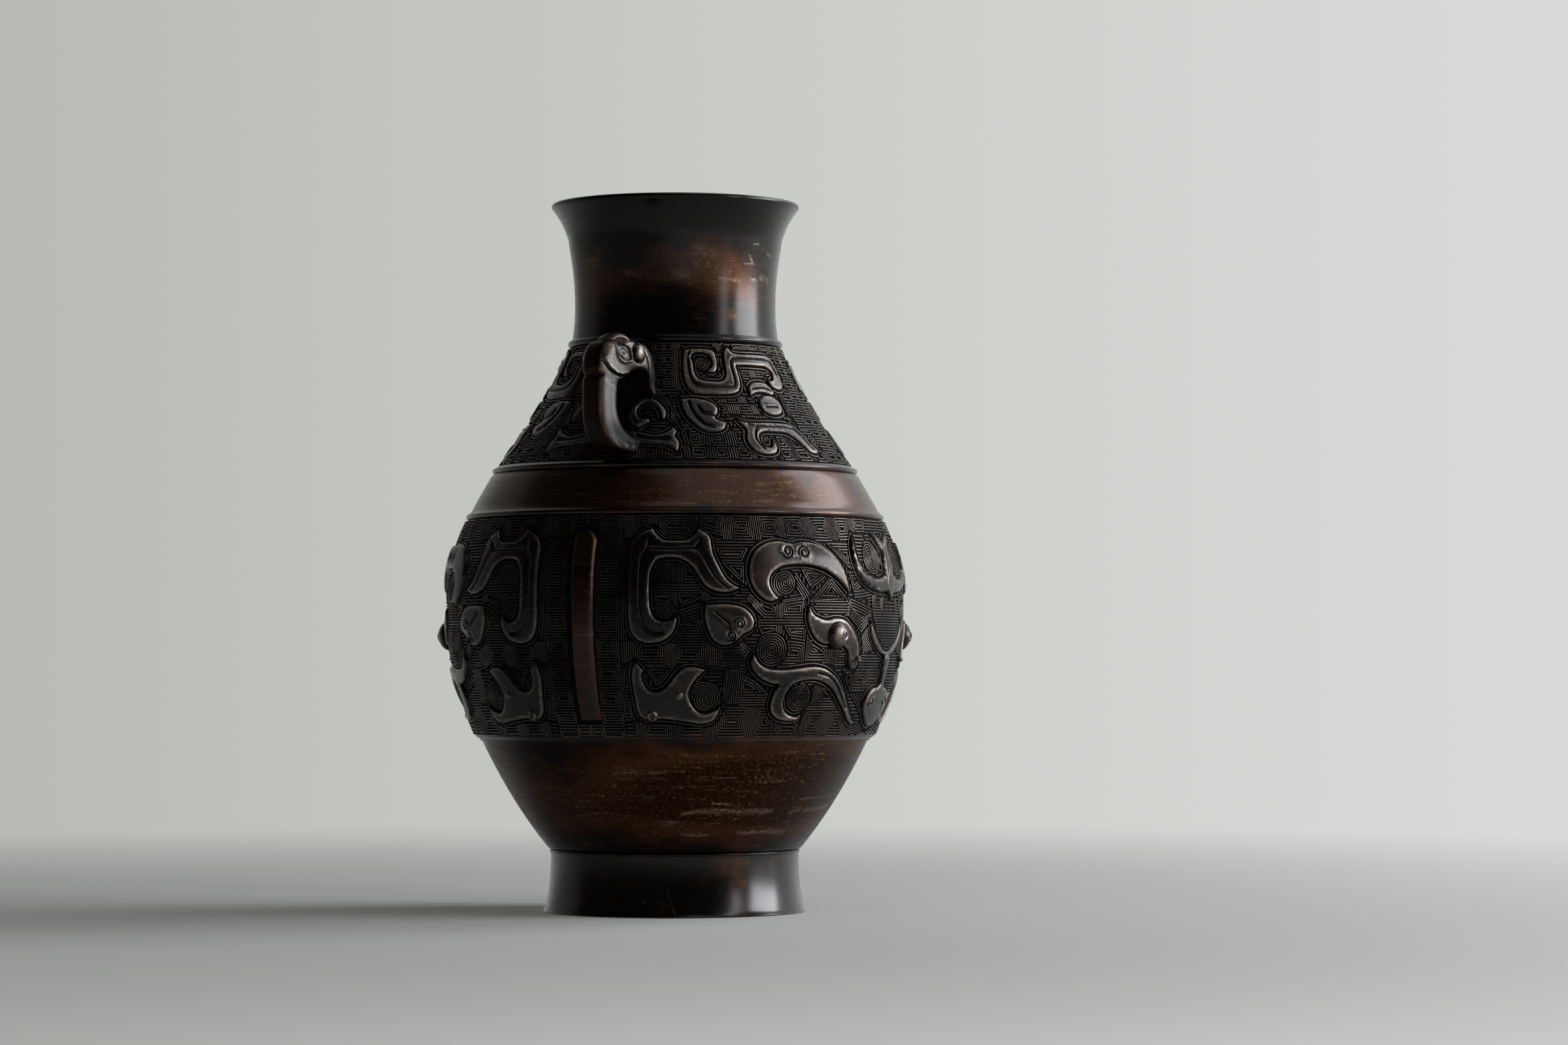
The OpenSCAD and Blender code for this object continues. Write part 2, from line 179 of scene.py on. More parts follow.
RING = [(8.8, 256), (11.2, 257.2), (15.1, 256.2), (18.1, 253.2), (19.9, 249.6), (19.1, 245.3, 1),
    (17.7, 246.8), (17.1, 248.8), (16.5, 251), (14.2, 253.6), (11.2, 254.4), (8.8, 252.5), (8.3, 250),
    (9.4, 247.4), (11.2, 246.3), (13.2, 246.6), (13.7, 244.5), (11.7, 243), (9.6, 241.4, 1),
    (7.6, 243), (5.9, 247), (6.3, 252)]
BAR = [(6.5, 240, 1), (9.7, 240), (12.2, 239), (16.6, 238.2), (20.1, 239.6), (22.4, 242.4, 1),
    (23.8, 240), (23.2, 237.5), (24.4, 235), (24.6, 232.3), (23.9, 229.4, 1), (20.1, 232.4),
    (14.2, 233.4), (9.2, 234.4), (6.9, 237)]
BAR_GROOVES = [
    [(9.8, 237.6), (13.2, 236.4), (21, 235.8)],
]
# Shapes that lie across the middle of a mask: the half with s under 90, from its top to its bottom
SHIELD_HALF = [(90, 174), (88.7, 171.5), (87.5, 168), (87.7, 164), (90, 157.5, 1)]
SNOUT_HALF = [(90, 132.2), (87.3, 133.2), (84.3, 136.8), (81.8, 141.5), (79.4, 147, 1),
    (80.2, 140), (83.2, 133.8), (86.8, 130.6), (90, 129.6)]
MUZZLE_HALF = [(90, 131), (88.3, 129.5), (88.6, 124), (89, 118), (88, 114.8), (86, 114.4), (83.5, 112),
    (82.3, 107.2), (83.2, 102.6), (85.6, 98.4), (88, 95.8), (90, 95)]

# Each motif: outline, height above the ground, grooves, curls as (s, z, radius, turn), and bosses
# as (s, z, radius, height)
LOWER_MOTIFS = [
    (C_SCROLL, 2.2, C_SCROLL_GROOVES, [], []),
    (LEAF_EAR, 2.2, LEAF_EAR_GROOVES, [(38.7, 145.4, 2.9, -1), (36.6, 139.4, 2.6, 1)], []),
    (CRESCENT, 2.3, [], [(51.6, 179.8, 3.2, 1), (56.2, 179.4, 3.3, -1)], []),
    (EYE_SLOT, 1.9, [], [(73.3, 127.7, 1.5, 1)], []),
    (S_SCROLL, 2.2, S_SCROLL_GROOVES, [], []),
    (BEAST, 1.9, [], [], []),
    (BROW, 2.2, [], [], []),
]
# Round eyes, as (s, z, radius, height, how far the ring of the pupil lies off the middle, its radius)
LOWER_EYES = [(66.4, 139.9, 7.4, 5.4, 2.4, 2.1), (74.9, 128.6, 2.3, 2.9, 0, 0.9),
    (17.3, 100.9, 4.0, 2.9, 0, 1.9), (24.2, 110.5, 2.9, 3.0, 0, 0)]
MASK_MOTIFS = [
    (SHIELD_HALF, 2.4, [], [], []),
    (SNOUT_HALF, 1.6, [], [], []),
    (MUZZLE_HALF, 2.4, [], [(85.3, 107.4, 2.4, 1)], []),
]
UPPER_MOTIFS = [
    (BAND, 1.6, BAND_GROOVES, [], []),
    (LIP_ARC, 1.5, LIP_ARC_GROOVES, [], []),
    (OVAL, 1.6, OVAL_GROOVES, [], []),
    (COMMA, 1.6, COMMA_GROOVES, [], []),
    (FORK, 1.6, FORK_GROOVES, [], []),
    (RING, 1.6, [], [], [(11.6, 250.2, 3.0, 0.8)]),
    (BAR, 1.5, BAR_GROOVES, [], []),
]


# Plane geometry
def degree_mm(frieze, z):
    """Length of one degree along the ground at a height."""
    return ground(frieze, z)[0] * math.pi / 180


def smooth_line(points, step, scale, closed=True):
    """A curve through the points, about step mm apart, that keeps the marked corners."""
    p = np.array([q[:2] for q in points], float)
    sharp = [len(q) > 2 for q in points]
    n = len(p)
    out = []
    for i in range(n if closed else n - 1):
        j = (i + 1) % n
        before = p[i - 1] if closed or i else p[i]
        after = p[(j + 1) % n] if closed or j + 1 < n else p[j]
        chord = p[j] - p[i]
        leave = chord if sharp[i] else (p[j] - before) / 2
        arrive = chord if sharp[j] else (after - p[i]) / 2
        length = math.hypot(chord[0] * scale, chord[1])
        count = max(2, round(length / step))
        t = (np.arange(count) / count)[:, None]
        out.append((2 * t ** 3 - 3 * t ** 2 + 1) * p[i] + (t ** 3 - 2 * t ** 2 + t) * leave
                   + (3 * t ** 2 - 2 * t ** 3) * p[j] + (t ** 3 - t ** 2) * arrive)
    if not closed:
        out.append(p[-1:])
    return np.vstack(out)


def mirrored_outline(half):
    """A full outline from its half on the lower side of s = 90."""
    other = [(180 - q[0], *q[1:]) for q in reversed(half) if q[0] < 89.99]
    return half + other


# Points measured at a time, to spare memory
AT_A_TIME = 3000


def distance_to_line(points, line, scales, closed):
    """Distance in mm of each point to a line; scales is the length of a degree at each point."""
    a = line if closed else line[:-1]
    b = np.roll(line, -1, 0) if closed else line[1:]
    best = np.empty(len(points))
    for k in range(0, len(points), AT_A_TIME):
        p, m = points[k:k + AT_A_TIME, None, :], scales[k:k + AT_A_TIME, None]
        ax, az = (a[None, :, 0] - p[..., 0]) * m, a[None, :, 1] - p[..., 1]
        dx, dz = (b - a)[None, :, 0] * m, (b - a)[None, :, 1]
        t = np.clip(-(ax * dx + az * dz) / (dx ** 2 + dz ** 2 + 1e-12), 0, 1)
        best[k:k + AT_A_TIME] = np.sqrt(((ax + t * dx) ** 2 + (az + t * dz) ** 2).min(1))
    return best


def inside(points, outline):
    """Whether each point lies in a closed outline."""
    x, y = points[:, :1], points[:, 1:]
    ax, ay = outline[None, :, 0], outline[None, :, 1]
    b = np.roll(outline, -1, 0)
    bx, by = b[None, :, 0], b[None, :, 1]
    crosses = (ay > y) != (by > y)
    with np.errstate(divide="ignore", invalid="ignore"):
        left = x < ax + (y - ay) * (bx - ax) / (by - ay)
    return (crosses & left).sum(1) % 2 == 1


def signed_distance(points, outline, scales):
    """Distance to a closed outline, negative inside it."""
    d = distance_to_line(points, outline, scales, True)
    return np.where(inside(points, outline), -d, d)


def away(points, s, z, scale):
    """Distance in mm of each point from (s, z)."""
    return np.hypot((points[:, 0] - s) * scale, points[:, 1] - z)


def sideways(steps, scale):
    """For steps along a line in [s, z], the way 1 mm to their left."""
    t = steps * (scale, 1)
    n = np.column_stack([-t[:, 1], t[:, 0]])
    return n / (np.linalg.norm(t, axis=1)[:, None] + 1e-9) / (scale, 1)


def inward(outline, scale):
    """The way 1 mm into a closed outline at each of its points."""
    n = sideways(np.roll(outline, -1, 0) - np.roll(outline, 1, 0), scale)
    return n if inside(outline[:1] + 0.05 * n[:1], outline)[0] else -n


def dome(off):
    """Height of a half ball of radius 1 at a distance from its middle."""
    return np.sqrt(np.clip(1 - off ** 2, 0, 1))


def grid_faces(rows, across, closed=True):
    """Faces between rows of points; closed rows join end to start."""
    faces = []
    for i in range(rows - 1):
        for j in range(across if closed else across - 1):
            a, b = i * across + j, i * across + (j + 1) % across
            faces.append((a, b, b + across, a + across))
    return faces


def runs_of(marks):
    """Start and end of each run of true marks; the end is one past the last."""
    edges = np.flatnonzero(np.diff(np.concatenate([[0], marks.astype(int), [0]])))
    return zip(edges[::2], edges[1::2])


# A curl's sweep and starting angle, and how much of its radius it winds in
CURL_SWEEP, CURL_START, CURL_IN = 3.1 * math.pi, 200, 0.72


def curl_line(curl, scale):
    """The groove of a small curl: one and a half turns inwards."""
    s, z, radius, turn = curl
    a = np.linspace(0, CURL_SWEEP, 26)
    r = radius * (1 - CURL_IN * a / a[-1])
    a = math.radians(CURL_START) + turn * a
    return np.column_stack([s + r * np.cos(a) / scale, z + r * np.sin(a)])


# Meshes
def on_frieze(frieze, s, z, lift, turn):
    """Points in the row frame; turn is (direction, start angle) of one quarter of the vase."""
    r, out, up = ground(frieze, z)
    a = np.radians(turn[1] + turn[0] * s)
    reach = r + lift * out
    return np.column_stack([reach * np.cos(a), reach * np.sin(a), z + lift * up])


# The quarters of the vase as (direction, start angle), and the two that bring one shape to each side
QUARTERS = [(1, 180), (-1, 180), (1, 0), (-1, 0)]
HALVES = [(1, 180), (1, 0)]


def make_piece(name, points, faces, wear, material, smooth_angle, warm):
    """A mesh object from points in mm; wear is 0 in recesses and 1 on tops, warm says how brown it is."""
    mesh = bpy.data.meshes.new(name)
    mesh.from_pydata((np.asarray(points) * MM).tolist(), [], faces)
    for attribute, value in (("wear", wear), ("warm", warm)):
        mesh.attributes.new(attribute, "FLOAT", "POINT").data.foreach_set(
            "value", np.full(len(points), value, np.float32))
    mesh.shade_smooth()
    mesh.set_sharp_from_angle(angle=math.radians(smooth_angle))
    mesh.materials.append(material)
    piece = bpy.data.objects.new(name, mesh)
    bpy.context.scene.collection.objects.link(piece)
    return piece


def all_round(name, surface, frieze, turns, material, smooth_angle, warm=0.3):
    """A piece from the (s, z, lift) points, faces and wear of one quarter, set round the vase."""
    flat, flat_faces, wear = surface
    points = np.vstack([on_frieze(frieze, *np.transpose(flat), turn) for turn in turns])
    faces = [tuple(k * len(flat) + i for i in f)[::turn[0]] for k, turn in enumerate(turns) for f in flat_faces]
    return make_piece(name, points, faces, np.tile(wear, len(turns)), material, smooth_angle, warm)


# Relief motifs: rounded plates with grooves
# In mm: spacing of points along edges and grooves and in the grid, and how near two points may lie
EDGE_STEP, GROOVE_STEP, GRID, MERGE = 0.9, 1.0, 1.6, 0.3
# The edge's radius, the lines of points inside it, and the rings of points on a boss as shares of its radius
EDGE_RADIUS, EDGE_INSETS, BOSS_RINGS = 1.15, (0.1, 0.32, 0.65, 1.15), (0.3, 0.55, 0.78, 0.92, 1.03)
# Half width and depth of a groove, and how far beside its middle points lie
GROOVE_HALF, GROOVE_DEPTH, GROOVE_SIDE = 0.45, 0.95, 0.55
# How far motifs and eyes reach down into the ground, and how far a curl stands over its motif
SUNK, BALL_SUNK, CURL_RISE = 0.3, 0.4, 0.55


def relief(motif, frieze, full):
    """The surface of one motif as (s, z, lift) points, faces and wear."""
    edge, lift, grooves, curls, bosses = motif
    if full:
        edge = mirrored_outline(edge)
        curls = curls + [(180 - c[0], c[1], c[2], -c[3]) for c in curls]
    scale = degree_mm(frieze, np.mean([q[1] for q in edge]))
    outline = smooth_line(edge, EDGE_STEP, scale)
    lines = [smooth_line(g, GROOVE_STEP, scale, False) for g in grooves] + [curl_line(c, scale) for c in curls]

    # Points: the outline, lines inside it, both sides of each groove, a loose grid and rings on each boss
    way_in = inward(outline, scale)
    seeds = [outline + inset * way_in for inset in EDGE_INSETS]
    for line in lines:
        side = GROOVE_SIDE * sideways(np.gradient(line, axis=0), scale)
        seeds += [line, line + side, line - side]
    lo, hi = outline.min(0), outline.max(0)
    gs, gz = np.meshgrid(np.arange(lo[0], hi[0], GRID / scale), np.arange(lo[1], hi[1], GRID))
    gs[1::2] += GRID / 2 / scale
    seeds.append(np.column_stack([gs.ravel(), gz.ravel()]))
    a = np.arange(0, 2 * math.pi, 0.3)
    for s, z, radius, _ in bosses:
        for r in np.multiply(BOSS_RINGS, radius):
            seeds.append(np.column_stack([s + r * np.cos(a) / scale, z + r * np.sin(a)]))
    inner = np.vstack(seeds)
    inner = inner[-signed_distance(inner, outline, degree_mm(frieze, inner[:, 1])) > 0.07]
    inner = inner[np.unique(np.round(inner / (MERGE / scale, MERGE)), axis=0, return_index=True)[1]]

    count = len(outline)
    edges = [(i, (i + 1) % count) for i in range(count)]
    verts, _, faces, *_ = geometry.delaunay_2d_cdt(
        [Vector((s * scale, z)) for s, z in np.vstack([outline, inner])], edges, [list(range(count))], 1, 1e-4)
    flat = np.array([(v.x / scale, v.y) for v in verts])

    scales = degree_mm(frieze, flat[:, 1])
    d = distance_to_line(flat, outline, scales, True)
    swell = dome(1 - np.clip(d / EDGE_RADIUS, 0, 1))
    height = -SUNK + (lift + SUNK) * swell + 0.12 * np.clip((d - 1.1) / 3, 0, 1)
    wear = (0.25 + 0.75 * swell ** 3) * (1 - 0.5 * np.clip((d - 0.8) / 1.1, 0, 1))
    for s, z, radius, _ in curls:
        raised = np.clip((1.3 - away(flat, s, z, scales) / radius) / 0.3, 0, 1)
        height += CURL_RISE * raised
        wear = np.maximum(wear, 0.95 * raised)
    for line in lines:
        cut = np.exp(-(distance_to_line(flat, line, scales, False) / GROOVE_HALF) ** 2)
        height -= GROOVE_DEPTH * cut
        wear *= 1 - 0.85 * cut
    for s, z, radius, rise in bosses:
        height += rise * dome(away(flat, s, z, scales) / radius)
    return np.column_stack([flat, height]), [tuple(f) for f in faces], wear


def ball(frieze, s, z, radius, rise, aside, pupil):
    """A round eye on the ground, with a raised ring as its pupil, as (s, z, lift) points, faces and wear."""
    scale = degree_mm(frieze, z)
    around = np.radians(np.arange(0, 360, 9))
    reach = radius * np.concatenate([(1, 0.98, 0.95), np.linspace(0.9, 0.06, 15)])
    flat = np.array([(s + r * math.cos(a) / scale, z + r * math.sin(a)) for r in reach for a in around] + [(s, z)])
    off = away(flat, s, z, scale) / radius
    height = -BALL_SUNK + (rise + BALL_SUNK) * dome(off)
    wear = 0.85 - 0.75 * np.clip((off - 0.5) / 0.4, 0, 1)
    if pupil:
        ring = np.hypot((flat[:, 0] - s) * scale - aside, flat[:, 1] - z)
        rim, hollow = np.exp(-((ring - pupil) / 0.42) ** 2), ring < pupil - 0.5
        height += 0.5 * rim - 0.25 * hollow
        wear += 0.5 * rim - 0.3 * hollow
    n, last = len(around), (len(reach) - 1) * len(around)
    faces = grid_faces(len(reach), n) + [(last + j, last + (j + 1) % n, len(flat) - 1) for j in range(n)]
    return np.column_stack([flat, height]), faces, wear


def join(parts):
    """Several (points, faces, wear) as one."""
    points, faces, wear, start = [], [], [], 0
    for p, f, w in parts:
        points.append(p)
        wear.append(w)
        faces += [tuple(i + start for i in q) for q in f]
        start += len(p)
    return np.vstack(points), faces, np.concatenate(wear)


def motifs_piece(name, frieze, motifs, material, turns, full=False, eyes=()):
    """Relief motifs and round eyes as one piece, its faces turned outwards."""
    flat, faces, wear = join([relief(m, frieze, full) for m in motifs] + [ball(frieze, *e) for e in eyes])
    first, second, third = (flat[[f[k] for f in faces[:200]], :2] for k in range(3))
    (ax, ay), (bx, by) = (second - first).T, (third - first).T
    if (ax * by - bx * ay).sum() < 0:
        faces = [f[::-1] for f in faces]
    return all_round(name, (flat, faces, wear), frieze, turns, material, smooth_angle=60)


# Squared-spiral ground: thin raised lines, one strip of five points across each,
# as (place across in mm, lift, wear). Level lines lie PITCH apart; round spirals have their own pitch, and
# FOLLOW is how far a line runs outside a motif's edge.
# the wear makes the flanks black, partly patina and partly painted shade, and the top edges a little lighter as a
# painted glint
RIDGE_ACROSS = ((-0.5, -0.1, 0), (-0.2, 0.72, 1), (0, 0.77, 0.9), (0.2, 0.72, 1), (0.5, -0.1, 0))
PITCH, ROUND_PITCH = 1.36, 1.24
FOLLOW = 0.95
# Lower and upper end of the flanges, and how many degrees from their middle the ground's lines begin
FLANGE_LOW, FLANGE_HIGH, FLANGE_CLEAR = 98.5, 190.0, 3.75


# Cells are drawn in a plane where one degree is this many mm: its true length drawn out by 1.3 or 1.25, so that
# upright lines come out closer together than level ones
PLANE_DEGREE = {"lower": 1.97 * 1.3, "upper": 1.26 * 1.25}


def cut_by_side(polygon, a, n, offset):
    """The part of a convex polygon at least offset inside the side through a with inward normal n."""
    out = []
    d = (polygon - a) @ n - offset
    for i in range(len(polygon)):
        j = (i + 1) % len(polygon)
        if d[i] >= 0:
            out.append(polygon[i])
        if (d[i] > 0) != (d[j] > 0) and d[i] != d[j]:
            out.append(polygon[i] + (polygon[j] - polygon[i]) * d[i] / (d[i] - d[j]))
    return np.array(out)


def sides_of(corners):
    """Corner and inward normal of each side of a convex polygon."""
    c = np.asarray(corners, float)
    x, y = c.T
    if np.sum(x * np.roll(y, -1) - np.roll(x, -1) * y) < 0:
        c = c[::-1]
    e = np.roll(c, -1, 0) - c
    return c, np.column_stack([-e[:, 1], e[:, 0]]) / np.linalg.norm(e, axis=1)[:, None]


def spiral_cell(corners):
    """One line that winds inwards along the sides of a convex cell."""
    c, n = sides_of(corners)
    rings, offset = [], 0.5 * PITCH
    while len(rings) < 14:
        ring = c
        for a, m in zip(c, n):
            if len(ring) > 2:
                ring = cut_by_side(ring, a, m, offset)
        if len(ring) < 3 or np.ptp(ring, 0).min() < 0.25 * PITCH:
            break
        if rings:
            k = np.argmin(np.linalg.norm(ring - rings[-1][0], axis=1))
            ring = np.roll(ring, -k, 0)
        rings.append(ring)
        offset += PITCH
    path = []
    for k, ring in enumerate(rings):
        path += list(ring if k == 0 else ring[1:])
        if k + 1 < len(rings):
            # the last side stops where the next turn begins
            p, d = ring[-1], ring[0] - ring[-1]
            q, e = rings[k + 1][0], rings[k + 1][1] - rings[k + 1][0]
            cross = d[0] * e[1] - d[1] * e[0]
            t = 1 - PITCH / np.linalg.norm(d) if abs(cross) < 1e-6 else (
                (q[0] - p[0]) * e[1] - (q[1] - p[1]) * e[0]) / cross
            path.append(p + min(max(t, 0.1), 1) * d)
    return [np.array(path)] if len(path) > 1 else []


def hatch_cell(corners):
    """Parallel lines along the first side of a convex cell."""
    c = np.asarray(corners, float)
    d = (c[1] - c[0]) / np.linalg.norm(c[1] - c[0])
    n = np.array([-d[1], d[0]])
    if (c.mean(0) - c[0]) @ n < 0:
        n = -n
    reach = ((c - c[0]) @ n).max()
    count = max(1, round(reach / PITCH))
    lines = []
    for k in range(count):
        h = (k + 0.5) * reach / count
        hits = []
        for i in range(len(c)):
            a, b = c[i], c[(i + 1) % len(c)]
            da, db = (a - c[0]) @ n - h, (b - c[0]) @ n - h
            if (da > 0) != (db > 0):
                hits.append(a + (b - a) * da / (da - db))
        if len(hits) == 2:
            x = sorted(hits, key=lambda q: q @ d)
            if (x[1] - x[0]) @ d > 1.2 * PITCH:
                lines.append(np.array([x[0] + 0.3 * PITCH * d, x[1] - 0.3 * PITCH * d]))
    return lines


def round_spiral(s, z, radius, frieze):
    """A round spiral, in [s, z]."""
    scale = degree_mm(frieze, z)
    points, a, r = [], 0.0, 0.35
    while r < radius:
        points.append((s + r * math.cos(a) / scale, z + r * math.sin(a)))
        step = min(0.8, 1.3 / r)
        a += step
        r += ROUND_PITCH * step / (2 * math.pi)
    return np.array(points)


# Spacing of the points tested along a line, and the shortest run that is kept
SAMPLE_STEP, SHORTEST = 0.5, 1.1


def sampled(line, scale, step=SAMPLE_STEP):
    """Points along a line in [s, z], and which of them are its corners."""
    samples, corner = [], []
    for a, b in zip(line[:-1], line[1:]):
        n = max(1, math.ceil(math.hypot((b[0] - a[0]) * scale, b[1] - a[1]) / step))
        for k in range(n):
            samples.append(a + (b - a) * k / n)
            corner.append(k == 0)
    samples.append(line[-1])
    corner.append(True)
    return np.array(samples), np.array(corner)


# Size of the marks that say which ground is taken, and how far a filling line keeps from motifs and lines
CELL, MOTIF_GAP, LINE_GAP = 0.34, 0.8, 1.1
# Rounds of filling: whether the lines stand upright, and the shortest one that is drawn
FILL_ROUNDS = ((False, 3.4), (True, 1.7), (False, 1.2), (True, 1.2))


def discs(grid, radius):
    """A grid of marks with each mark grown to a disc of that radius in mm."""
    n = math.ceil(radius / CELL)
    out = grid.copy()
    for i in range(-n, n + 1):
        for j in range(-n, n + 1):
            if math.hypot(i, j) * CELL <= radius:
                out |= np.roll(grid, (i, j), (0, 1))
    return out


def filling(lines, outlines, scale, low, high, left_out):
    """Short straight lines for the ground that no line has reached yet."""
    lines = list(lines)
    wide, tall = round(90 * scale / CELL), round((high - low) / CELL)
    s = (np.arange(wide) + 0.5) * CELL / scale
    z = low + (np.arange(tall) + 0.5) * CELL
    ss, zz = np.meshgrid(s, z)
    cells = np.column_stack([ss.ravel(), zz.ravel()])
    shapes = np.zeros((tall, wide), bool)
    for outline in outlines:
        near = ((cells > outline.min(0)) & (cells < outline.max(0))).all(1)
        hit = np.zeros(len(cells), bool)
        hit[near] = inside(cells[near], outline)
        shapes |= hit.reshape(tall, wide)
    drawn = np.zeros((tall, wide), bool)
    for line in lines:
        p = sampled(line, scale, 0.3)[0]
        i, j = ((p[:, 1] - low) / CELL).astype(int), (p[:, 0] * scale / CELL).astype(int)
        ok = (i >= 0) & (i < tall) & (j >= 0) & (j < wide)
        drawn[i[ok], j[ok]] = True
    taken = discs(shapes, MOTIF_GAP) | discs(drawn, LINE_GAP) | left_out(ss, zz)
    taken[:2] = taken[-2:] = True
    reach = math.ceil(LINE_GAP / CELL)
    for upright, shortest in FILL_ROUNDS:
        view = taken.T if upright else taken
        for i in range(view.shape[0]):
            for a, b in runs_of(~view[i]):
                if (b - a) * CELL < shortest:
                    continue
                ends = (a, b - 1)
                lines.append(np.array([(s[i], z[k]) if upright else (s[k], z[i]) for k in ends]))
                view[max(0, i - reach):i + reach + 1, max(0, a - reach):b + reach] = True
    return lines


# The longest straight part of a ridge, and the limit that keeps its sharp corners from running out
RIDGE_PART, SHARPEST_MITER = 6, 0.55


def ridges(lines, frieze):
    """Raised strips along lines in [s, z], as (s, z, lift) points, faces and wear."""
    points, faces, wear = [], [], []
    n = len(RIDGE_ACROSS)
    for line in lines:
        scale = degree_mm(frieze, line[:, 1])
        flat = np.column_stack([line[:, 0] * scale.mean(), line[:, 1]])
        fine = [flat[0]]
        for a, b in zip(flat[:-1], flat[1:]):
            parts = max(1, math.ceil(np.linalg.norm(b - a) / RIDGE_PART))
            fine += [a + (b - a) * (k + 1) / parts for k in range(parts)]
        flat = np.array(fine)
        d = np.diff(flat, axis=0)
        d /= np.linalg.norm(d, axis=1)[:, None] + 1e-9
        into, out = np.vstack([d[:1], d]), np.vstack([d, d[-1:]])
        n_in, n_out = into[:, ::-1] * (-1, 1), out[:, ::-1] * (-1, 1)
        miter = n_in + n_out
        miter /= np.clip((miter * n_in).sum(1), SHARPEST_MITER, None)[:, None]
        start = len(points)
        for p, m in zip(flat, miter):
            for across, lift, w in RIDGE_ACROSS:
                q = p + across * m
                points.append((q[0] / scale.mean(), q[1], lift))
                wear.append(w)
        for k in range(len(flat) - 1):
            i = start + n * k
            faces += [(i + j + 1, i + j, i + j + n, i + j + n + 1) for j in range(n - 1)]
        faces += [tuple(start + j for j in range(n)), tuple(len(points) - 1 - j for j in range(n))]
    return np.array(points), faces, np.array(wear, float)


# The ground's lower and upper edge and its two ends in degrees, what counts as near a motif, and the gap round
# a spiral
GROUND_HEIGHTS = {"lower": (90.4, 198.4), "upper": (225.6, 286)}
QUARTER, NEAR, SPIRAL_GAP = (-0.2, 90.2), 5, 0.5


def ground_lines(frieze, motifs, mask_motifs, cells, spirals):
    """All the lines of one quarter of a frieze's ground, kept clear of its motifs."""
    low, high = GROUND_HEIGHTS[frieze]
    scale = degree_mm(frieze, (low + high) / 2)
    edges = [m[0] for m in motifs] + [mirrored_outline(m[0]) for m in mask_motifs]
    if frieze == "lower":
        # the brow reaches over the mask's middle, so its mirror image is kept clear too
        edges.append([(180 - q[0], *q[1:]) for q in motifs[-1][0]])
    outlines = [smooth_line(edge, GROOVE_STEP, scale) for edge in edges]

    def on_flange(s, z):
        return (frieze == "lower") & (s < FLANGE_CLEAR) & (z > FLANGE_LOW - 1.6) & (z < FLANGE_HIGH + 1.8)

    def kept(line, clear, off_spirals=True):
        """Runs of a line that stay clear mm from every motif, inside the frieze."""
        samples, corner = sampled(line, scale)
        m = degree_mm(frieze, samples[:, 1])
        ok = ((samples > (QUARTER[0], low)) & (samples < (QUARTER[1], high))).all(1)
        for outline in outlines:
            box_lo, box_hi = outline.min(0) - (NEAR / scale, NEAR), outline.max(0) + (NEAR / scale, NEAR)
            near = ok & (samples > box_lo).all(1) & (samples < box_hi).all(1)
            if near.any():
                ok[near] &= signed_distance(samples[near], outline, m[near]) > clear
        if off_spirals:
            for s, z, r in spirals:
                ok &= away(samples, s, z, m) > r + SPIRAL_GAP
        ok &= ~on_flange(samples[:, 0], samples[:, 1])
        runs = [(i, j - 1) for i, j in runs_of(ok) if (j - 1 - i) * SAMPLE_STEP > SHORTEST]
        return [samples[[k for k in range(i, j + 1) if corner[k] or k in (i, j)]] for i, j in runs]

    lines = []
    for s, z, r in spirals:
        lines += kept(round_spiral(s, z, r, frieze), 0.75, False)
    for outline in outlines:
        line = outline - FOLLOW * inward(outline, scale)
        lines += kept(np.vstack([line, line[:1]])[::2], FOLLOW - 0.12)
    plane = (PLANE_DEGREE[frieze], 1)
    for kind, *corners in cells:
        for line in (spiral_cell if kind == "n" else hatch_cell)(np.multiply(corners, plane)):
            lines += kept(line / plane, FOLLOW + 0.95)
    return filling(lines, outlines, scale, low, high, on_flange)


def ridges_piece(name, frieze, *layout):
    """The raised lines of a frieze's ground as one piece."""
    surface = ridges(ground_lines(frieze, *layout), frieze)
    return all_round(name, surface, frieze, QUARTERS, ridge_bronze_with_painted_shade, smooth_angle=25)


# Ground cells of one quarter: "n" holds a spiral that winds inwards, "h" lines along its first side
LOWER_SPIRALS = [(20.6, 151.9, 4.7), (30.6, 108.6, 8.4), (47.3, 132.3, 8.3), (50.6, 164.8, 6.2),
                 (56.6, 109.1, 6.9), (81.8, 178, 8.2)]


def column(s0, s1, heights):
    """Boxes one above the other between two angles."""
    return [("n", (s0, b), (s1, b), (s1, a), (s0, a)) for a, b in zip(heights[:-1], heights[1:])]


def row(z0, z1, angles, kinds):
    """Boxes side by side between two heights; kinds has one letter for each: n, v for upright lines."""
    return [("h", (a, z0), (a, z1), (b, z1), (b, z0)) if k == "v" else ("n", (a, z0), (b, z0), (b, z1), (a, z1))
            for a, b, k in zip(angles[:-1], angles[1:], kinds)]


def box(kind, s0, s1, z0, z1):
    """One box, from its upper left corner and along its top."""
    return kind, (s0, z1), (s1, z1), (s1, z0), (s0, z0)


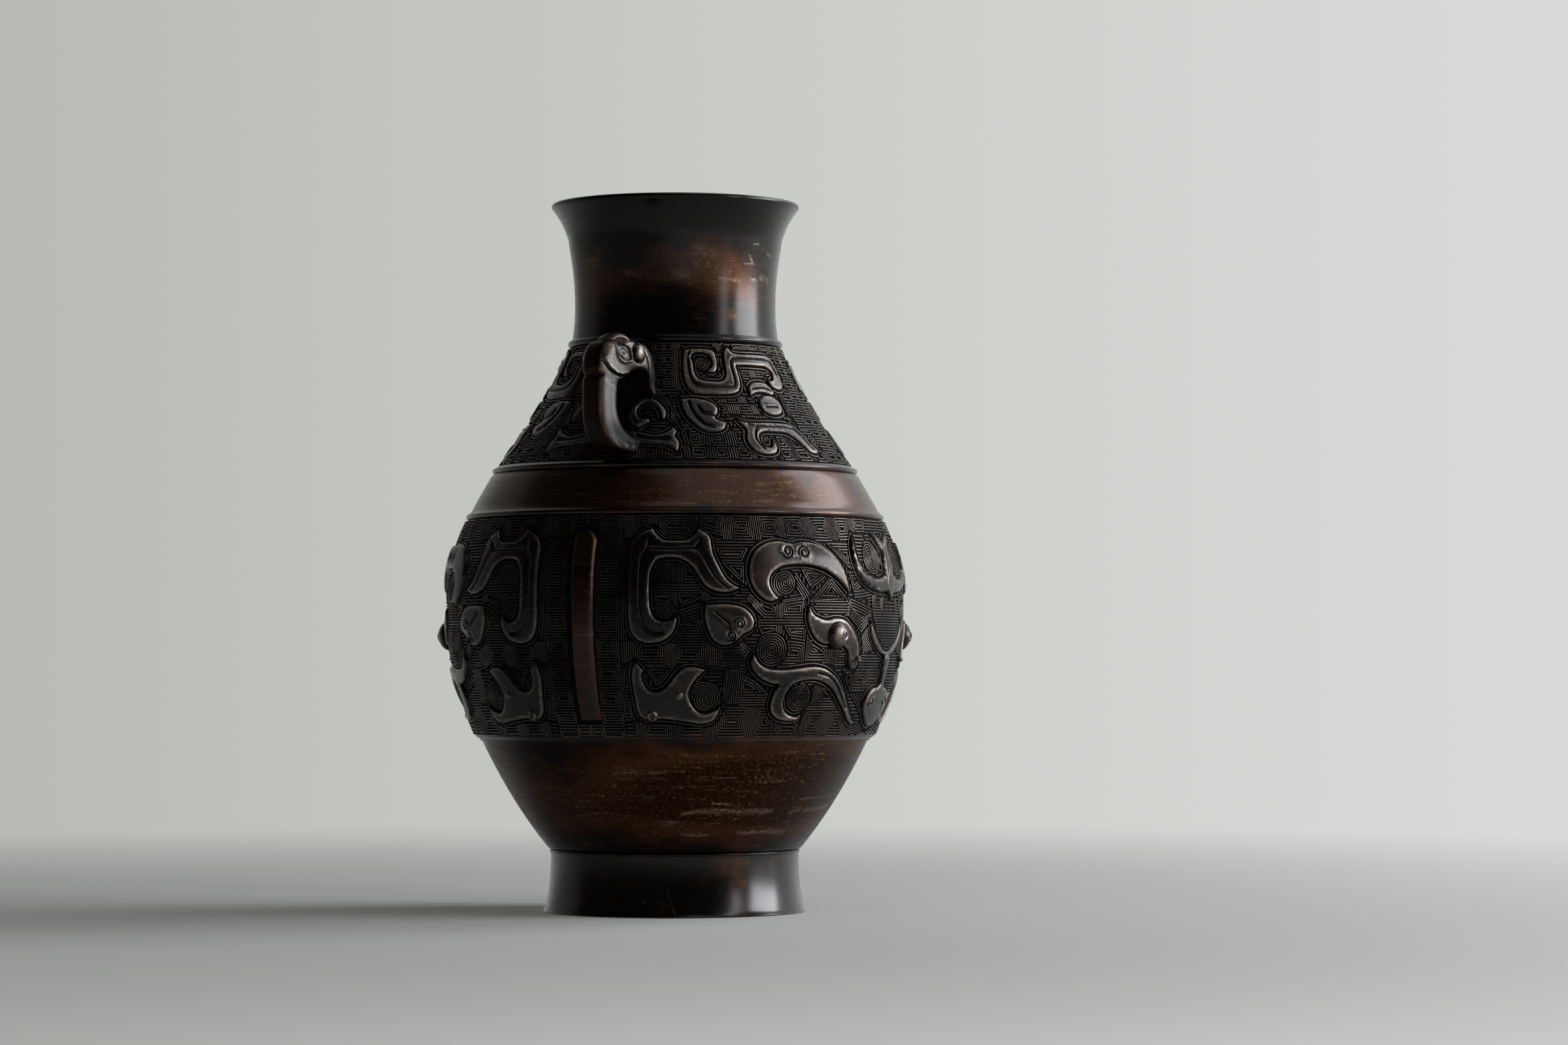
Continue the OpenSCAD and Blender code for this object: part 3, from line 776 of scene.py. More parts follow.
LOWER_CELLS = [
    # beside the flange
    *column(3.7, 9.8, (88.5, 95, 103, 115, 127, 139.5, 152, 163.5, 175, 187.5, 198)),
    *column(9.8, 12.6, (98, 111, 124)),
    ("h", (10, 137), (10, 126), (13.8, 126), (13.8, 137)),
    ("h", (9.9, 186), (9.9, 137), (11.6, 137), (11.6, 186)),
    # above and under the flange
    *row(192, 198.5, (-0.1, 3.9), "n"), *row(89, 96.5, (-0.1, 3.9), "n"),
    # top row, along the belt
    ("h", (9.6, 198), (10.6, 186), (13.5, 186), (12.6, 198)),
    ("n", (13, 198), (17.1, 198), (17.1, 192), (13.3, 187)),
    ("h", (17.1, 198), (17.1, 190.5), (18.6, 190), (18.6, 198)),
    ("n", (18.6, 198), (27.3, 198), (26.9, 189.5), (25.6, 186.6), (20.8, 186.6), (19.1, 190)),
    ("h", (27.3, 198), (27.3, 190), (29, 190), (29, 198)),
    ("n", (29, 198), (35.1, 198), (35.1, 187), (30, 190)),
    *row(185.3, 198, (35.1, 37.6, 43.2, 45.4, 50.7, 52.6), "vnvnv"),
    ("n", (52.6, 198), (58.2, 198), (58.5, 186), (52.8, 186)),
    ("h", (58.2, 198), (58.5, 186), (61, 185.5), (60.6, 198)),
    ("n", (60.6, 198), (67, 198), (67, 185.4), (61, 185.4)),
    ("h", (67, 198), (67, 186), (69.8, 186), (70.2, 198)),
    ("n", (70.2, 198), (76.2, 198), (74.2, 186.4), (69.8, 186)),
    ("h", (76.2, 198), (75, 190.3), (77.6, 190.3), (78.6, 198)),
    ("n", (78.6, 198), (84.6, 198), (82.4, 190.5), (77.6, 190.5)),
    ("h", (84.6, 197.5), (90.2, 197.5), (90.2, 190.5), (82.6, 190.5)),
    # between the C-scroll and the crescent
    box("h", 33, 43.5, 182.2, 185.3),
    ("n", (33, 182.2), (41.6, 182.2), (39.6, 175), (34.5, 175)),
    ("n", (34, 175), (40.6, 175), (40.6, 162.5)),
    box("h", 31.5, 41.8, 155.2, 161),
    ("h", (29.6, 161), (29.6, 154.5), (31.5, 154.5), (31.5, 161)),
    ("h", (41.6, 161.5), (45, 154.5), (43.4, 152), (40.6, 157)),
    # inside the C-scroll
    ("h", (17.6, 164.4), (17.6, 176), (25, 176), (25, 164.4)),
    ("n", (25, 175.5), (27.2, 174), (31, 164.4), (25, 164.4)),
    box("h", 17.6, 31, 160.6, 164.4),
    box("n", 17.6, 22.4, 156, 160.6),
    ("h", (22.4, 160.6), (22.4, 153), (23.8, 153), (23.8, 160.6)),
    ("n", (23.8, 160.6), (30.5, 160.6), (29.6, 157.2), (24.4, 153)),
    ("h", (23.6, 151.8), (30.4, 156.6), (30.2, 152), (23.6, 147)),
    # between the C-scroll's hook and the leaf
    ("n", (23.8, 147), (30, 151.4), (30, 141), (23.8, 141)),
    ("h", (23.2, 141), (32, 141), (32, 136), (22.2, 136)),
    # under the C-scroll and the leaf
    *row(124.5, 136, (13.8, 21, 23.4, 30.4, 33.6), "nvnv"),
    ("n", (33.6, 135), (39.6, 136), (41.8, 131), (41.8, 124.5), (33.6, 124.5)),
    ("h", (39.4, 137), (43, 131.5), (41.8, 127), (38.6, 133)),
    ("n", (15.4, 125), (23.4, 125), (19, 113.5)),
    # between the leaf, the crescent and the eye
    ("n", (43.2, 158.6), (48.7, 154.6), (48.7, 147.6), (45, 147.6), (41.6, 154)),
    ("h", (48.7, 156), (48.7, 147.6), (50.2, 147.6), (50.2, 157)),
    ("n", (50.2, 156.4), (56, 158), (56.4, 147.6), (50.2, 147.6)),
    ("h", (42.8, 147.6), (56.6, 147.6), (56.6, 144.9), (43.2, 144.9)),
    ("n", (43, 144.9), (48.6, 144.9), (48.6, 140.4), (45, 138.6)),
    ("n", (50, 144.9), (56.8, 144.9), (56.8, 136.4), (52.4, 137.6)),
    ("h", (48.6, 144.9), (48.6, 140.4), (50, 139.6), (50, 144.9)),
    ("n", (51.6, 137.4), (56.6, 136.4), (57, 125.2), (49.8, 125.2)),
    ("n", (57, 142), (64.3, 135), (64.6, 125.6), (57, 125.6)),
    ("h", (64.3, 134), (64.6, 125.6), (66.9, 124.6), (66.7, 133)),
    ("n", (66.8, 132.8), (71.6, 132.4), (71.4, 124.6), (66.8, 124.6)),
    # inside the crescent
    ("n", (55.2, 172.2), (65.2, 171), (58, 162)),
    ("h", (53.6, 171), (57.8, 159.6), (56.2, 156.8), (52.8, 165)),
    ("n", (57.4, 156), (64.6, 169.4), (71.4, 157), (70.4, 154.2), (59.4, 154.2)),
    ("h", (57, 154.2), (71, 154.2), (70.8, 149), (57, 149)),
    ("h", (49.6, 158.6), (55.8, 160.6), (56, 157.6), (49.4, 156)),
    # right of the crescent
    ("n", (64, 185.2), (74.2, 185.2), (72.2, 171)),
    ("n", (70.6, 171.6), (74.6, 171), (77.6, 166), (72.4, 160.4)),
    ("h", (72.4, 161.8), (80.4, 163.4), (80.4, 157.8), (72.6, 158.2)),
    ("n", (71.2, 158.2), (80.2, 153.4), (80, 147.8), (75.8, 140.8), (69.6, 150.6)),
    ("n", (80.4, 163), (87, 163), (85.6, 150.5), (80.4, 150.5)),
    ("h", (80.4, 150.5), (90.2, 150.5), (90.2, 133), (84, 138)),
    ("h", (76, 139.6), (80.2, 147.2), (84, 133.4), (77.2, 130.6)),
    ("h", (76.6, 130.6), (87.4, 130.6), (87, 123.6), (76, 123.6)),
    ("n", (75.6, 123.6), (81.2, 123.6), (81.2, 112), (75, 112)),
    box("n", 81.2, 87.6, 113.6, 123.6),
    ("n", (69.8, 123.4), (75.4, 123.6), (74.8, 111)),
    ("h", (74.6, 111.6), (84.4, 98.6), (84.4, 111.6)),
    ("h", (84.4, 96.5), (78.4, 94.4), (78.4, 90), (90, 90)),
    # between the beast and the S-scroll
    ("h", (35.5, 123.5), (35.2, 106), (39.6, 106), (40, 123.5)),
    ("n", (40, 123.4), (43.6, 117.6), (49, 112.6), (48.6, 110), (39.8, 110)),
    box("h", 39.6, 49, 105.2, 110),
    ("h", (31, 128), (41.6, 125), (41, 121), (31.4, 124)),
    # inside the S-scroll
    ("h", (61, 117), (61, 105.4), (63.4, 105.4), (63.4, 117)),
    ("n", (63.4, 116.6), (66.4, 114.4), (72.6, 105.4), (63.4, 105.4)),
    ("h", (59.6, 105.4), (74, 105.4), (75, 103), (59.6, 103)),
    # bottom row
    *row(89.6, 98, (12.6, 15.4, 22, 24.6, 31.6, 34.6), "vnvnv"),
    *row(89.8, 105.2, (34.6, 42.6, 45.2), "nv"),
    ("n", (45.2, 105.2), (48.8, 104.4), (52.4, 96.6), (52.4, 89.8), (45.2, 89.8)),
    *row(89.8, 98.4, (52.4, 58.6), "n"),
    ("h", (59.4, 103), (58.6, 89.8), (60.8, 89.8), (61.2, 103)),
    *row(89.8, 103, (61, 66.4), "n"),
    ("h", (66.4, 103), (66.4, 89.8), (69.2, 89.8), (69.4, 103)),
    ("n", (69.4, 103), (73.6, 102.6), (76.4, 96.2), (76.4, 89.8), (69.2, 89.8)),
    ("h", (76.4, 96.2), (76.4, 89.8), (78.4, 89.8), (78.4, 96)),
]

UPPER_SPIRALS = [(36.2, 274.2, 3.6), (80.5, 236.5, 3.4)]
UPPER_CELLS = [
    # bottom row
    *row(225.8, 232.2, (0, 4.6, 6.6, 10.4, 12.8, 17.6, 20.6, 25.6), "nvnvnvn"),
    ("h", (25.4, 233), (26.2, 225.6), (28.6, 225.6), (27.8, 233)),
    *row(225.8, 232.2, (28.6, 33.4, 36.6, 40.6, 44, 48.6, 50.8, 57.4, 60.2, 64.8, 67.2, 73.4, 76, 82, 84.6, 90.2),
         "nvnvnvnvnvnvnvn"),
    # second and third rows
    ("h", (23.8, 241.5), (25.4, 233), (27.8, 233), (26.6, 241.5)),
    *row(232.2, 240.4, (28, 32.8, 35.4, 41, 44.4, 48.8), "nvnvn"),
    ("h", (55, 239.4), (55, 234.8), (59.8, 234.8), (59.8, 239.4)),
    *row(231, 239.8, (60, 65.4, 67.2), "nv"),
    ("n", (67.2, 239.8), (70, 238.6), (74.6, 231), (67.2, 231)),
    box("n", 0, 6, 232.2, 240),
    # the lines that run down slantwise beside the handle
    ("h", (14.6, 263.4), (20.8, 255.6), (19.6, 252.8), (11.8, 261)),
    ("h", (20.6, 257), (23.4, 247.6), (21.6, 246), (18.8, 254)),
    ("h", (21.6, 251), (25.6, 240.8), (23.6, 239.4), (20.4, 247)),
    ("n", (20.4, 258.6), (25, 258.6), (25.4, 254.2), (21.8, 253.6)),
    ("n", (22, 253.4), (25.2, 253.6), (27, 246.8), (23.8, 246)),
    ("n", (24.2, 246), (28.8, 245), (32.2, 240.4), (26.4, 240.4)),
    ("h", (14, 262), (24.8, 262), (24.8, 258.6), (16.4, 258.6)),
    # beside the beak
    *column(17.6, 22.4, (262, 267.4, 273.4, 279.8, 286)),
    *column(12.6, 17.6, (268, 273.4, 279.8, 286)),
    *column(0, 12.4, (262, 268, 274, 280, 286)),
    ("h", (22.4, 286), (22.4, 262), (25.6, 260), (25.6, 286)),
    # top row
    box("h", 25.6, 42.4, 283, 286),
    *row(280.8, 286, (42.4, 46.2), "v"),
    ("h", (46.2, 281), (54, 286), (48, 286), (45, 283)),
    ("n", (53.6, 286), (61.6, 286), (61.6, 281), (54.6, 281)),
    *row(281, 286, (61.6, 64.4, 70.6, 73.4, 79.4, 82, 90.2), "vnvnvn"),
    # inside the band
    box("h", 32, 46, 266.4, 270.4),
    ("h", (44.2, 280), (43.8, 268), (46.8, 269), (47.4, 280)),
    box("n", 53.8, 61.2, 267, 273.6),
    *row(267, 273.6, (61.2, 63.4, 69.6), "vn"),
    ("n", (69.6, 273.6), (74.2, 273.2), (73.6, 268), (69.6, 268)),
    ("h", (54.6, 267), (58.6, 267), (56.2, 260), (54.2, 260)),
    # between the band and the lower shapes
    *row(254.4, 258.4, (39.6, 42, 44.6, 50.4, 53.6), "nvnv"),
    *row(248.8, 254.4, (40.6, 44.2, 49.4, 55, 59.2), "nvnv"),
    *row(245.4, 248.8, (42.8, 46, 51, 55.4, 58.2), "nvnv"),
    *row(245.4, 248.6, (58.2, 65.4, 67.2, 73.4), "nvn"),
    ("n", (53.8, 264), (56.4, 264), (59.2, 255), (55, 255)),
    ("h", (61, 260), (72, 260), (71, 258.6), (62, 258.6)),
    *row(248.6, 262, (73.2, 76), "v"),
    *column(76, 83, (240, 245, 250.4, 256, 262)),
    *column(83, 90.2, (232.2, 238, 244, 250.4, 257, 263, 269, 275, 281)),
    ("h", (72, 250), (79, 236), (76, 236), (71, 247)),
]


# The vessel's plain surfaces
VESSEL_SIDES = 288


def revolve(profile, sides):
    """A turned surface from [r, z] points, as points and faces."""
    a = np.linspace(0, 2 * math.pi, sides, endpoint=False)
    points = np.stack([np.outer(profile[:, 0], np.cos(a)), np.outer(profile[:, 0], np.sin(a)),
                       np.outer(profile[:, 1], np.ones(sides))], -1).reshape(-1, 3)
    return points, grid_faces(len(profile), sides)


def between(line, low, high):
    """The part of a line of [r, z] between two heights."""
    return line[(line[:, 1] > low) & (line[:, 1] < high)]


def vessel_profile():
    """The half section, from the underside round the outside to the floor, and 0 where it is ground."""
    waist = bead(WAIST_R - 0.1, FOOT_H, 0.8, -80, 80)
    low_ring = bead(BELT_R - 0.4, BELT_Z, 1.6, -85, 75, 10)
    high_ring = bead(BELT_TOP_R - 0.3, SHOULDER_Z, 1.4, -75, 60, 9)
    neck_ring = bead(NECK_FOOT_R - 0.4, NECK_Z, 2.1, -70, 80, 11)
    lip = bead(61.7, RIM_Z - 1.6, 1.5, -30, 200, 12)
    under_step = FRIEZE_Z - STEP_H
    step = [(LOWER_TOP_R + 0.9, under_step + 0.1), (LOWER_TOP_R + 1.3, under_step + 0.9),
            (LOWER_TOP_R + 1.6, under_step + 1.2),
            (FRIEZE_R - 0.9, FRIEZE_Z - 0.8), (FRIEZE_R - 0.1, FRIEZE_Z - 0.2),
            (FRIEZE_R + 0.35, FRIEZE_Z + 0.3), (FRIEZE_R + 0.45, FRIEZE_Z + 0.8), (FRIEZE_R + 0.3, FRIEZE_Z + 1.1)]
    outer = (lip_line, neck_high, neck_low, shoulder_line, belt_line, lower_frieze)
    inner = np.vstack([line[:-1][::-1] for line in outer] + [lower_line[6:-2][::-1]])
    t = np.gradient(inner, axis=0)
    inner = inner + WALL * np.column_stack([t[:, 1], -t[:, 0]]) / np.linalg.norm(t, axis=1)[:, None]
    inner = inner[inner[:, 0] > 30][::2]
    under = [(0, CEILING_Z), (52, CEILING_Z), (58.6, 27), (WAIST_R - FOOT_WALL, 20),
             (FOOT_R - FOOT_WALL - 1, 6), (FOOT_R - FOOT_WALL, 0.4), (FOOT_R - FOOT_WALL + 0.4, 0)]
    foot_edge = [(FOOT_R - 0.5, 0), (FOOT_R, 0.5)]
    floor = [(60, FLOOR_Z + 3), (52, FLOOR_Z + 0.6), (30, FLOOR_Z), (0, FLOOR_Z)]
    runs = [(1.0, [under, foot_edge, foot_line[1:-1], waist, lower_line[1:], step]),
            (0.0, [between(lower_frieze, FRIEZE_Z + 1.4, BELT_Z - 1.8)]),
            (1.0, [low_ring, belt_line[1:-1], high_ring]),
            (0.0, [between(shoulder_line, SHOULDER_Z + 1.6, NECK_Z - 2.2)]),
            (1.0, [neck_ring, neck_low[1:], neck_high[1:], lip_line[1:-1], lip, inner, floor])]
    lines = [np.vstack(parts) for _, parts in runs]
    return np.vstack(lines), np.repeat([wear for wear, _ in runs], [len(line) for line in lines])


# How brown the plain metal is at a height: most on the lower body and the belt, least at the lip
# the highest values, on the lower body, also bring in a painted shade
WARM_AT = [(0, 0.1), (28, 0.1), (32, 0), (40, 0.25), (52, 0.8), (72, 0.75), (86, 0.35), (92, 0.2), (198, 0.3),
    (206, 0.55), (220, 0.45), (226, 0.1), (286, 0), (292, -0.1), (304, 0.05), (318, 0.3), (334, 0.1), (348, -0.2),
    (361, -0.3)]
# Warm patches of the plain bands, as (s, z, half width in degrees, half height in mm, amount)
WARM_PATCHES = [(38, 324, 26, 13, 0.35), (54, 328, 20, 9, 0.2), (45, 302, 16, 6, 0.2), (92, 306, 14, 8, 0.25),
    (45, 62, 40, 20, 0.35), (78, 62, 30, 18, 0.6), (-30, 318, 30, 22, 0.3), (-20, 76, 30, 16, -0.4),
    (20, 212, 60, 9, 0.1)]


def warmth(points):
    """How brown the plain metal is at each point."""
    z = points[:, 2]
    warm = np.interp(z, *np.transpose(WARM_AT))
    s = np.degrees(np.arctan2(points[:, 1], points[:, 0])) - 180
    for at, height, wide, tall, amount in WARM_PATCHES:
        for turn in (at, at + 180):
            off = ((s - turn + 180) % 360 - 180) / wide
            warm = warm + amount * np.exp(-off ** 2 - ((z - height) / tall) ** 2)
    return warm


# The vertical flanges between the masks
FLANGE_TOP_HALF, FLANGE_FOOT_HALF, FLANGE_RISE, FLANGE_SLOPE = 4.2, 3.9, 2.65, 2.3
# Height of the round top, how far the flanks sink into the ground, and the middle's shift to the right
FLANGE_ROUND, FLANGE_SUNK, FLANGE_SHIFT = 4.5, 0.4, 0.6
# Half of the section, from the foot of a flank to the flat top: place on the flank, lift and wear
FLANGE_FLANK = [(1, -FLANGE_SUNK, 0.3), (0.55, 1.3, 0.55), (0.12, 2.45, 0.9), (-0.12, FLANGE_RISE, 1),
    (-0.7, FLANGE_RISE, 0.75)]


def flange_piece(name, material):
    """A flat bar with sloped flanks and a round top, on each side of the vase."""
    shoulder = FLANGE_HIGH - FLANGE_ROUND
    heights = np.concatenate([np.linspace(FLANGE_LOW, shoulder, 46),
                              shoulder + FLANGE_ROUND * np.sin(np.radians(np.arange(15, 91, 15)))])
    across = [(-1, *row) for row in FLANGE_FLANK] + [(1, *row) for row in FLANGE_FLANK[::-1]]
    flat = []
    for z in heights:
        share = (z - FLANGE_LOW) / (FLANGE_HIGH - FLANGE_LOW)
        half = FLANGE_FOOT_HALF + share * (FLANGE_TOP_HALF - FLANGE_FOOT_HALF)
        top = math.sqrt(max(0.0, 1 - (max(0.0, z - shoulder) / FLANGE_ROUND) ** 2))
        rise = min(1.0, 0.35 + (z - FLANGE_LOW) / 14) * (0.15 + 0.85 * min(1.0, 2.2 * top))
        slope = FLANGE_SLOPE * (0.25 + 0.75 * top)
        mm = degree_mm("lower", z)
        for side, out, lift, _ in across:
            flat.append((side * (half * top + out * slope) / mm + FLANGE_SHIFT / mm, z,
                         -FLANGE_SUNK + (lift + FLANGE_SUNK) * rise))
    wear = [row[-1] for row in across] * len(heights)
    surface = flat, grid_faces(len(heights), len(across), False), wear
    return all_round(name, surface, "lower", HALVES, material, smooth_angle=50, warm=0.4)


# The two handles, each a bird's head on a bar: distance of its back from the axis, height of the bar's top,
# its turn in degrees, and how far its ends reach into the wall
HANDLE_REACH, HANDLE_Z, HANDLE_TWIST, HANDLE_SUNK = 105.6, 285.0, -20, 0.8
# Sections from the root up the bar and along the head to the tip of the beak, as [outer u, outer height,
# inner u, inner height, half width]. u runs from the handle's back to the vessel, heights from the bar's top.
HANDLE_SECTIONS = [(31, -58.5, 35, -47, 8.4), (13, -55, 26, -48.5, 8.2), (6.6, -52.5, 19.5, -45.2, 7.7),
    (2.6, -47.5, 16, -41, 7.3), (0.6, -40.5, 14, -36, 7.15), (0, -30, 13.4, -29.5, 7.15),
    (0.2, -21, 14.4, -21.5, 7.15), (0.3, -17, 16.8, -19.6, 7.15), (-0.2, -14, 20.5, -18.4, 7.15),
    (0.8, -7.5, 22.5, -17, 7.2), (4.6, -2, 24.5, -16.2, 7.3), (12, 0, 27, -15.6, 7.3),
    (20, 0.2, 29.5, -15.6, 7.2), (27.5, -0.4, 31.6, -16, 6.9), (33.3, -1.8, 33.1, -16.8, 6.4),
    (38, -5.2, 34.6, -17.8, 5.6), (41.2, -9.8, 36.3, -19, 4.6), (43, -14.8, 37.8, -20.4, 3.8),
    (43.3, -19.2, 39.2, -22, 3.1), (44.4, -24, 41.1, -24.6, 2.7), (47.5, -28.5, 45.1, -29, 2.5)]
# The raised cheek: its back edge, the edge of the mouth and the beak's front edge
CHEEK = [(0.2, -4.6), (1.2, -8.6), (3, -11.6), (6, -14.9), (9.8, -16.9), (14, -18.1), (18.4, -17.2),
    (24, -16.4), (29.2, -18.2), (33.6, -21.2), (35.6, -25.2), (37, -22), (37.6, -17.6), (36.9, -12.6),
    (34.4, -7.6), (30.4, -3.4), (26, -0.6), (20, 2), (8, 2)]

# Middle and tilt of the eye, middle and half size of the nostril, and the line along the beak
EYE_AT, EYE_TILT, NOSTRIL_AT, NOSTRIL_SIZE = (15.3, -6.9), -32, (25.9, -6.3), (3.6, 4.3)
BEAK_LINE = [(29.5, -5.2), (32.6, -9), (34.2, -14), (34.4, -19)]


def section_outline(count):
    """Evenly spaced points round a rounded square, as (in or out, across) from -1 to 1."""
    a = np.linspace(0, 2 * math.pi, 2000)
    line = np.column_stack([np.sign(v) * np.abs(v) ** 0.46 for v in (np.cos(a), np.sin(a))])
    run = np.concatenate([[0], np.cumsum(np.linalg.norm(np.diff(line, axis=0), axis=1))])
    at = np.linspace(0, run[-1], count, endpoint=False)
    return np.column_stack([np.interp(at, run, line[:, 0]), np.interp(at, run, line[:, 1])])


def ramp(value, low, high):
    """Rises smoothly from 0 to 1 while the value goes from low to high."""
    t = np.clip((value - low) / (high - low), 0, 1)
    return t * t * (3 - 2 * t)


def bump_at(distance, wide):
    """1 at no distance, falling off over the width."""
    return np.exp(-(distance / wide) ** 2)


def carving(u, h, side):
    """How far the carving stands out of a handle's cheek at (u, h), and how worn it is there."""
    p = np.column_stack([u, h])
    cheek = np.array(CHEEK)
    d = -signed_distance(p, cheek, np.ones(len(p)))
    out = 1.25 * ramp(d, -0.35, 0.35)
    worn = 0.35 + 0.4 * ramp(d, -0.2, 0.6) * (1 - 0.5 * ramp(d, 0.8, 2.2))
    out -= 0.45 * bump_at(d + 0.8, 0.5) * (u < 20)
    # eye: a raised almond with a ring and a pupil in it
    a, du, dh = math.radians(EYE_TILT), u - EYE_AT[0], h - EYE_AT[1]
    x, y = du * math.cos(a) + dh * math.sin(a), -du * math.sin(a) + dh * math.cos(a)
    lid = (np.abs(y) / 4.4 + (x / 6.4) ** 2 - 1) * 3.4
    round_eye = np.hypot(x, y)
    out += 0.85 * bump_at(lid, 0.55) - 0.5 * ramp(-lid, 0.4, 0.9) + 0.75 * bump_at(round_eye - 2.3, 0.42)
    out += 0.8 * bump_at(round_eye, 0.75)
    worn += 0.5 * bump_at(lid, 0.5) + 0.5 * bump_at(round_eye - 2.3, 0.4) - 0.45 * bump_at(lid + 0.9, 0.4)
    # nostril: an upright round swelling with a deep line behind it
    e = np.hypot((u - NOSTRIL_AT[0]) / NOSTRIL_SIZE[0], (h - NOSTRIL_AT[1]) / NOSTRIL_SIZE[1])
    out += 2.0 * dome(e) - 0.8 * bump_at((e - 1.16) * 3.2, 0.45)
    worn += 0.35 * ramp(1 - e, 0, 0.5) - 0.6 * bump_at((e - 1.16) * 3.2, 0.5)
    # a line along the beak, and small feathers on the neck behind the cheek
    line = distance_to_line(p, np.array(BEAK_LINE), np.ones(len(p)), False)
    out -= 0.5 * bump_at(line, 0.4)
    worn -= 0.5 * bump_at(line, 0.45)
    feathers = ramp(-d, 1.0, 1.6) * (1 - ramp(-d, 5.5, 7)) * (h > -28) * (u < 13)
    out -= 0.28 * feathers * (0.5 + 0.5 * np.sin((h + 0.9 * u) * 2 * math.pi / 1.5))
    return out * side, worn * side + 0.5 * (1 - side)


# Points round a handle, and the spacing of its sections
SECTION_POINTS, STATION_STEP = 104, 0.62


def handle_surface():
    """One handle as [u, v, height] points, faces, wear and warmth."""
    rows = np.array(HANDLE_SECTIONS, float)
    stations = []
    for i in range(len(rows) - 1):
        a, b, c, d = rows[max(i - 1, 0)], rows[i], rows[i + 1], rows[min(i + 2, len(rows) - 1)]
        steps = max(3, round(max(np.linalg.norm((c - b)[:2]), np.linalg.norm((c - b)[2:4])) / STATION_STEP))
        for t in np.arange(steps) / steps:
            stations.append(b + 0.5 * t * (c - a + t * (2 * a - 5 * b + 4 * c - d + t * (3 * (b - c) + d - a))))
    stations.append(rows[-1])
    stations = np.array(stations)
    shape = section_outline(SECTION_POINTS)
    mid = (stations[:, None, :2] + stations[:, None, 2:4]) / 2
    half = (stations[:, None, :2] - stations[:, None, 2:4]) / 2
    plane = mid + half * shape[None, :, :1]
    v = stations[:, 4][:, None] * shape[None, :, 1]
    count, n = v.shape
    u, h, v = plane[..., 0].ravel(), plane[..., 1].ravel(), v.ravel()
    side = np.tile(ramp(np.abs(shape[:, 1]), 0.72, 0.97), count)
    lift, worn = carving(u, h, side)
    v = v + np.sign(v) * lift
    # the notch where the neck feathers begin, and the uneven brazed root
    back = np.tile(ramp(shape[:, 0], 0.5, 0.95), count)
    u = u + 1.1 * back * bump_at(h + 18.3, 1.1)
    worn -= 0.4 * back * bump_at(h + 18.3, 1.0)
    edge = np.tile(bump_at(np.abs(np.abs(shape[:, 1]) - 0.86), 0.12) * (shape[:, 0] > 0), count)
    worn = worn + 0.3 * edge
    rough = ramp(-h, 46, 52)
    ragged = 0.3 * np.sin(1.3 * u + 0.7 * v) * np.sin(1.1 * v + 0.9 * h) + 0.12 * np.sin(2.3 * v + 2.9 * u)
    u, v = u - 0.6 * rough * ragged, v + np.sign(v) * 0.7 * rough * ragged
    worn -= 0.25 * ramp(-h, 34, 46)
    warm = 0.2 + 0.7 * back + 0.5 * rough
    return np.column_stack([u, v, h]), grid_faces(count, n), worn, warm


# The middle of the round comb, as (u, height)
CREST_MIDDLE = (17, -8.4)


def crest_surface():
    """The upright round comb over the head, with two grooves along its rim on either side."""
    across = [(7.0, 4.5), (8.2, 4.6), (8.8, 4.1), (9.4, 4.6), (10.2, 4.6), (10.7, 4.1), (11.2, 3.9), (11.7, 2.9),
              (11.95, 1.5), (12, 0)]
    line = across + [(r, -v) for r, v in across[-2::-1]]
    worn = [0.5, 0.5, 0.1, 0.5, 0.5, 0.15, 0.5, 0.6, 0.5, 0.5]
    worn = worn + worn[-2::-1]
    around = np.radians(np.arange(-20, 201, 4))
    u, h = CREST_MIDDLE
    points = [(u + r * math.cos(a), v, h + r * math.sin(a)) for r, v in line for a in around]
    n = len(around)
    warm = np.repeat([0.5 + 0.4 * (r > 11) for r, _ in line], n)
    return np.array(points), grid_faces(len(line), n, False), np.repeat(worn, n), warm


def handle_piece(name, turn, material):
    """A handle in the row frame; turn is 0 on the -X side and 180 on the other."""
    *head, head_warm = handle_surface()
    *comb, comb_warm = crest_surface()
    p, faces, worn = join([head, comb])
    warm = np.concatenate([head_warm, comb_warm])
    a, b = math.radians(HANDLE_TWIST), math.radians(turn)
    x = -HANDLE_REACH + p[:, 0] * math.cos(a) - p[:, 1] * math.sin(a)
    y = p[:, 0] * math.sin(a) + p[:, 1] * math.cos(a)
    z = HANDLE_Z + p[:, 2]
    # both ends stop inside the wall
    wall, reach = ground("upper", z)[0], np.hypot(x, y)
    push = np.maximum(reach, wall - HANDLE_SUNK) / reach
    x, y = x * push, y * push
    worn = worn * ramp(reach - wall, 0.2, 1.8)
    points = np.column_stack([x * math.cos(b) - y * math.sin(b), x * math.sin(b) + y * math.cos(b), z])
    return make_piece(name, points, faces, np.clip(worn, 0, 1), material, smooth_angle=55, warm=warm)


# Materials
def linear(code):
    """A colour given as sRGB hex, as linear RGBA."""
    parts = [int(code[i:i + 2], 16) / 255 for i in (0, 2, 4)]
    return [p / 12.92 if p <= 0.04045 else ((p + 0.055) / 1.055) ** 2.4 for p in parts] + [1.0]


def add(tree, kind, inputs=None, **settings):
    """A node with its settings and its inputs, which are values or other nodes' outputs."""
    node = tree.nodes.new(kind)
    for key, value in settings.items():
        setattr(node, key, value)
    for key, value in (inputs or {}).items():
        if isinstance(value, bpy.types.NodeSocket):
            tree.links.new(value, node.inputs[key])
        else:
            node.inputs[key].default_value = value
    return node


def maths(tree, operation, a, b, c=0.0):
    """A sum, a product or the like."""
    return add(tree, "ShaderNodeMath", {0: a, 1: b, 2: c}, operation=operation).outputs[0]


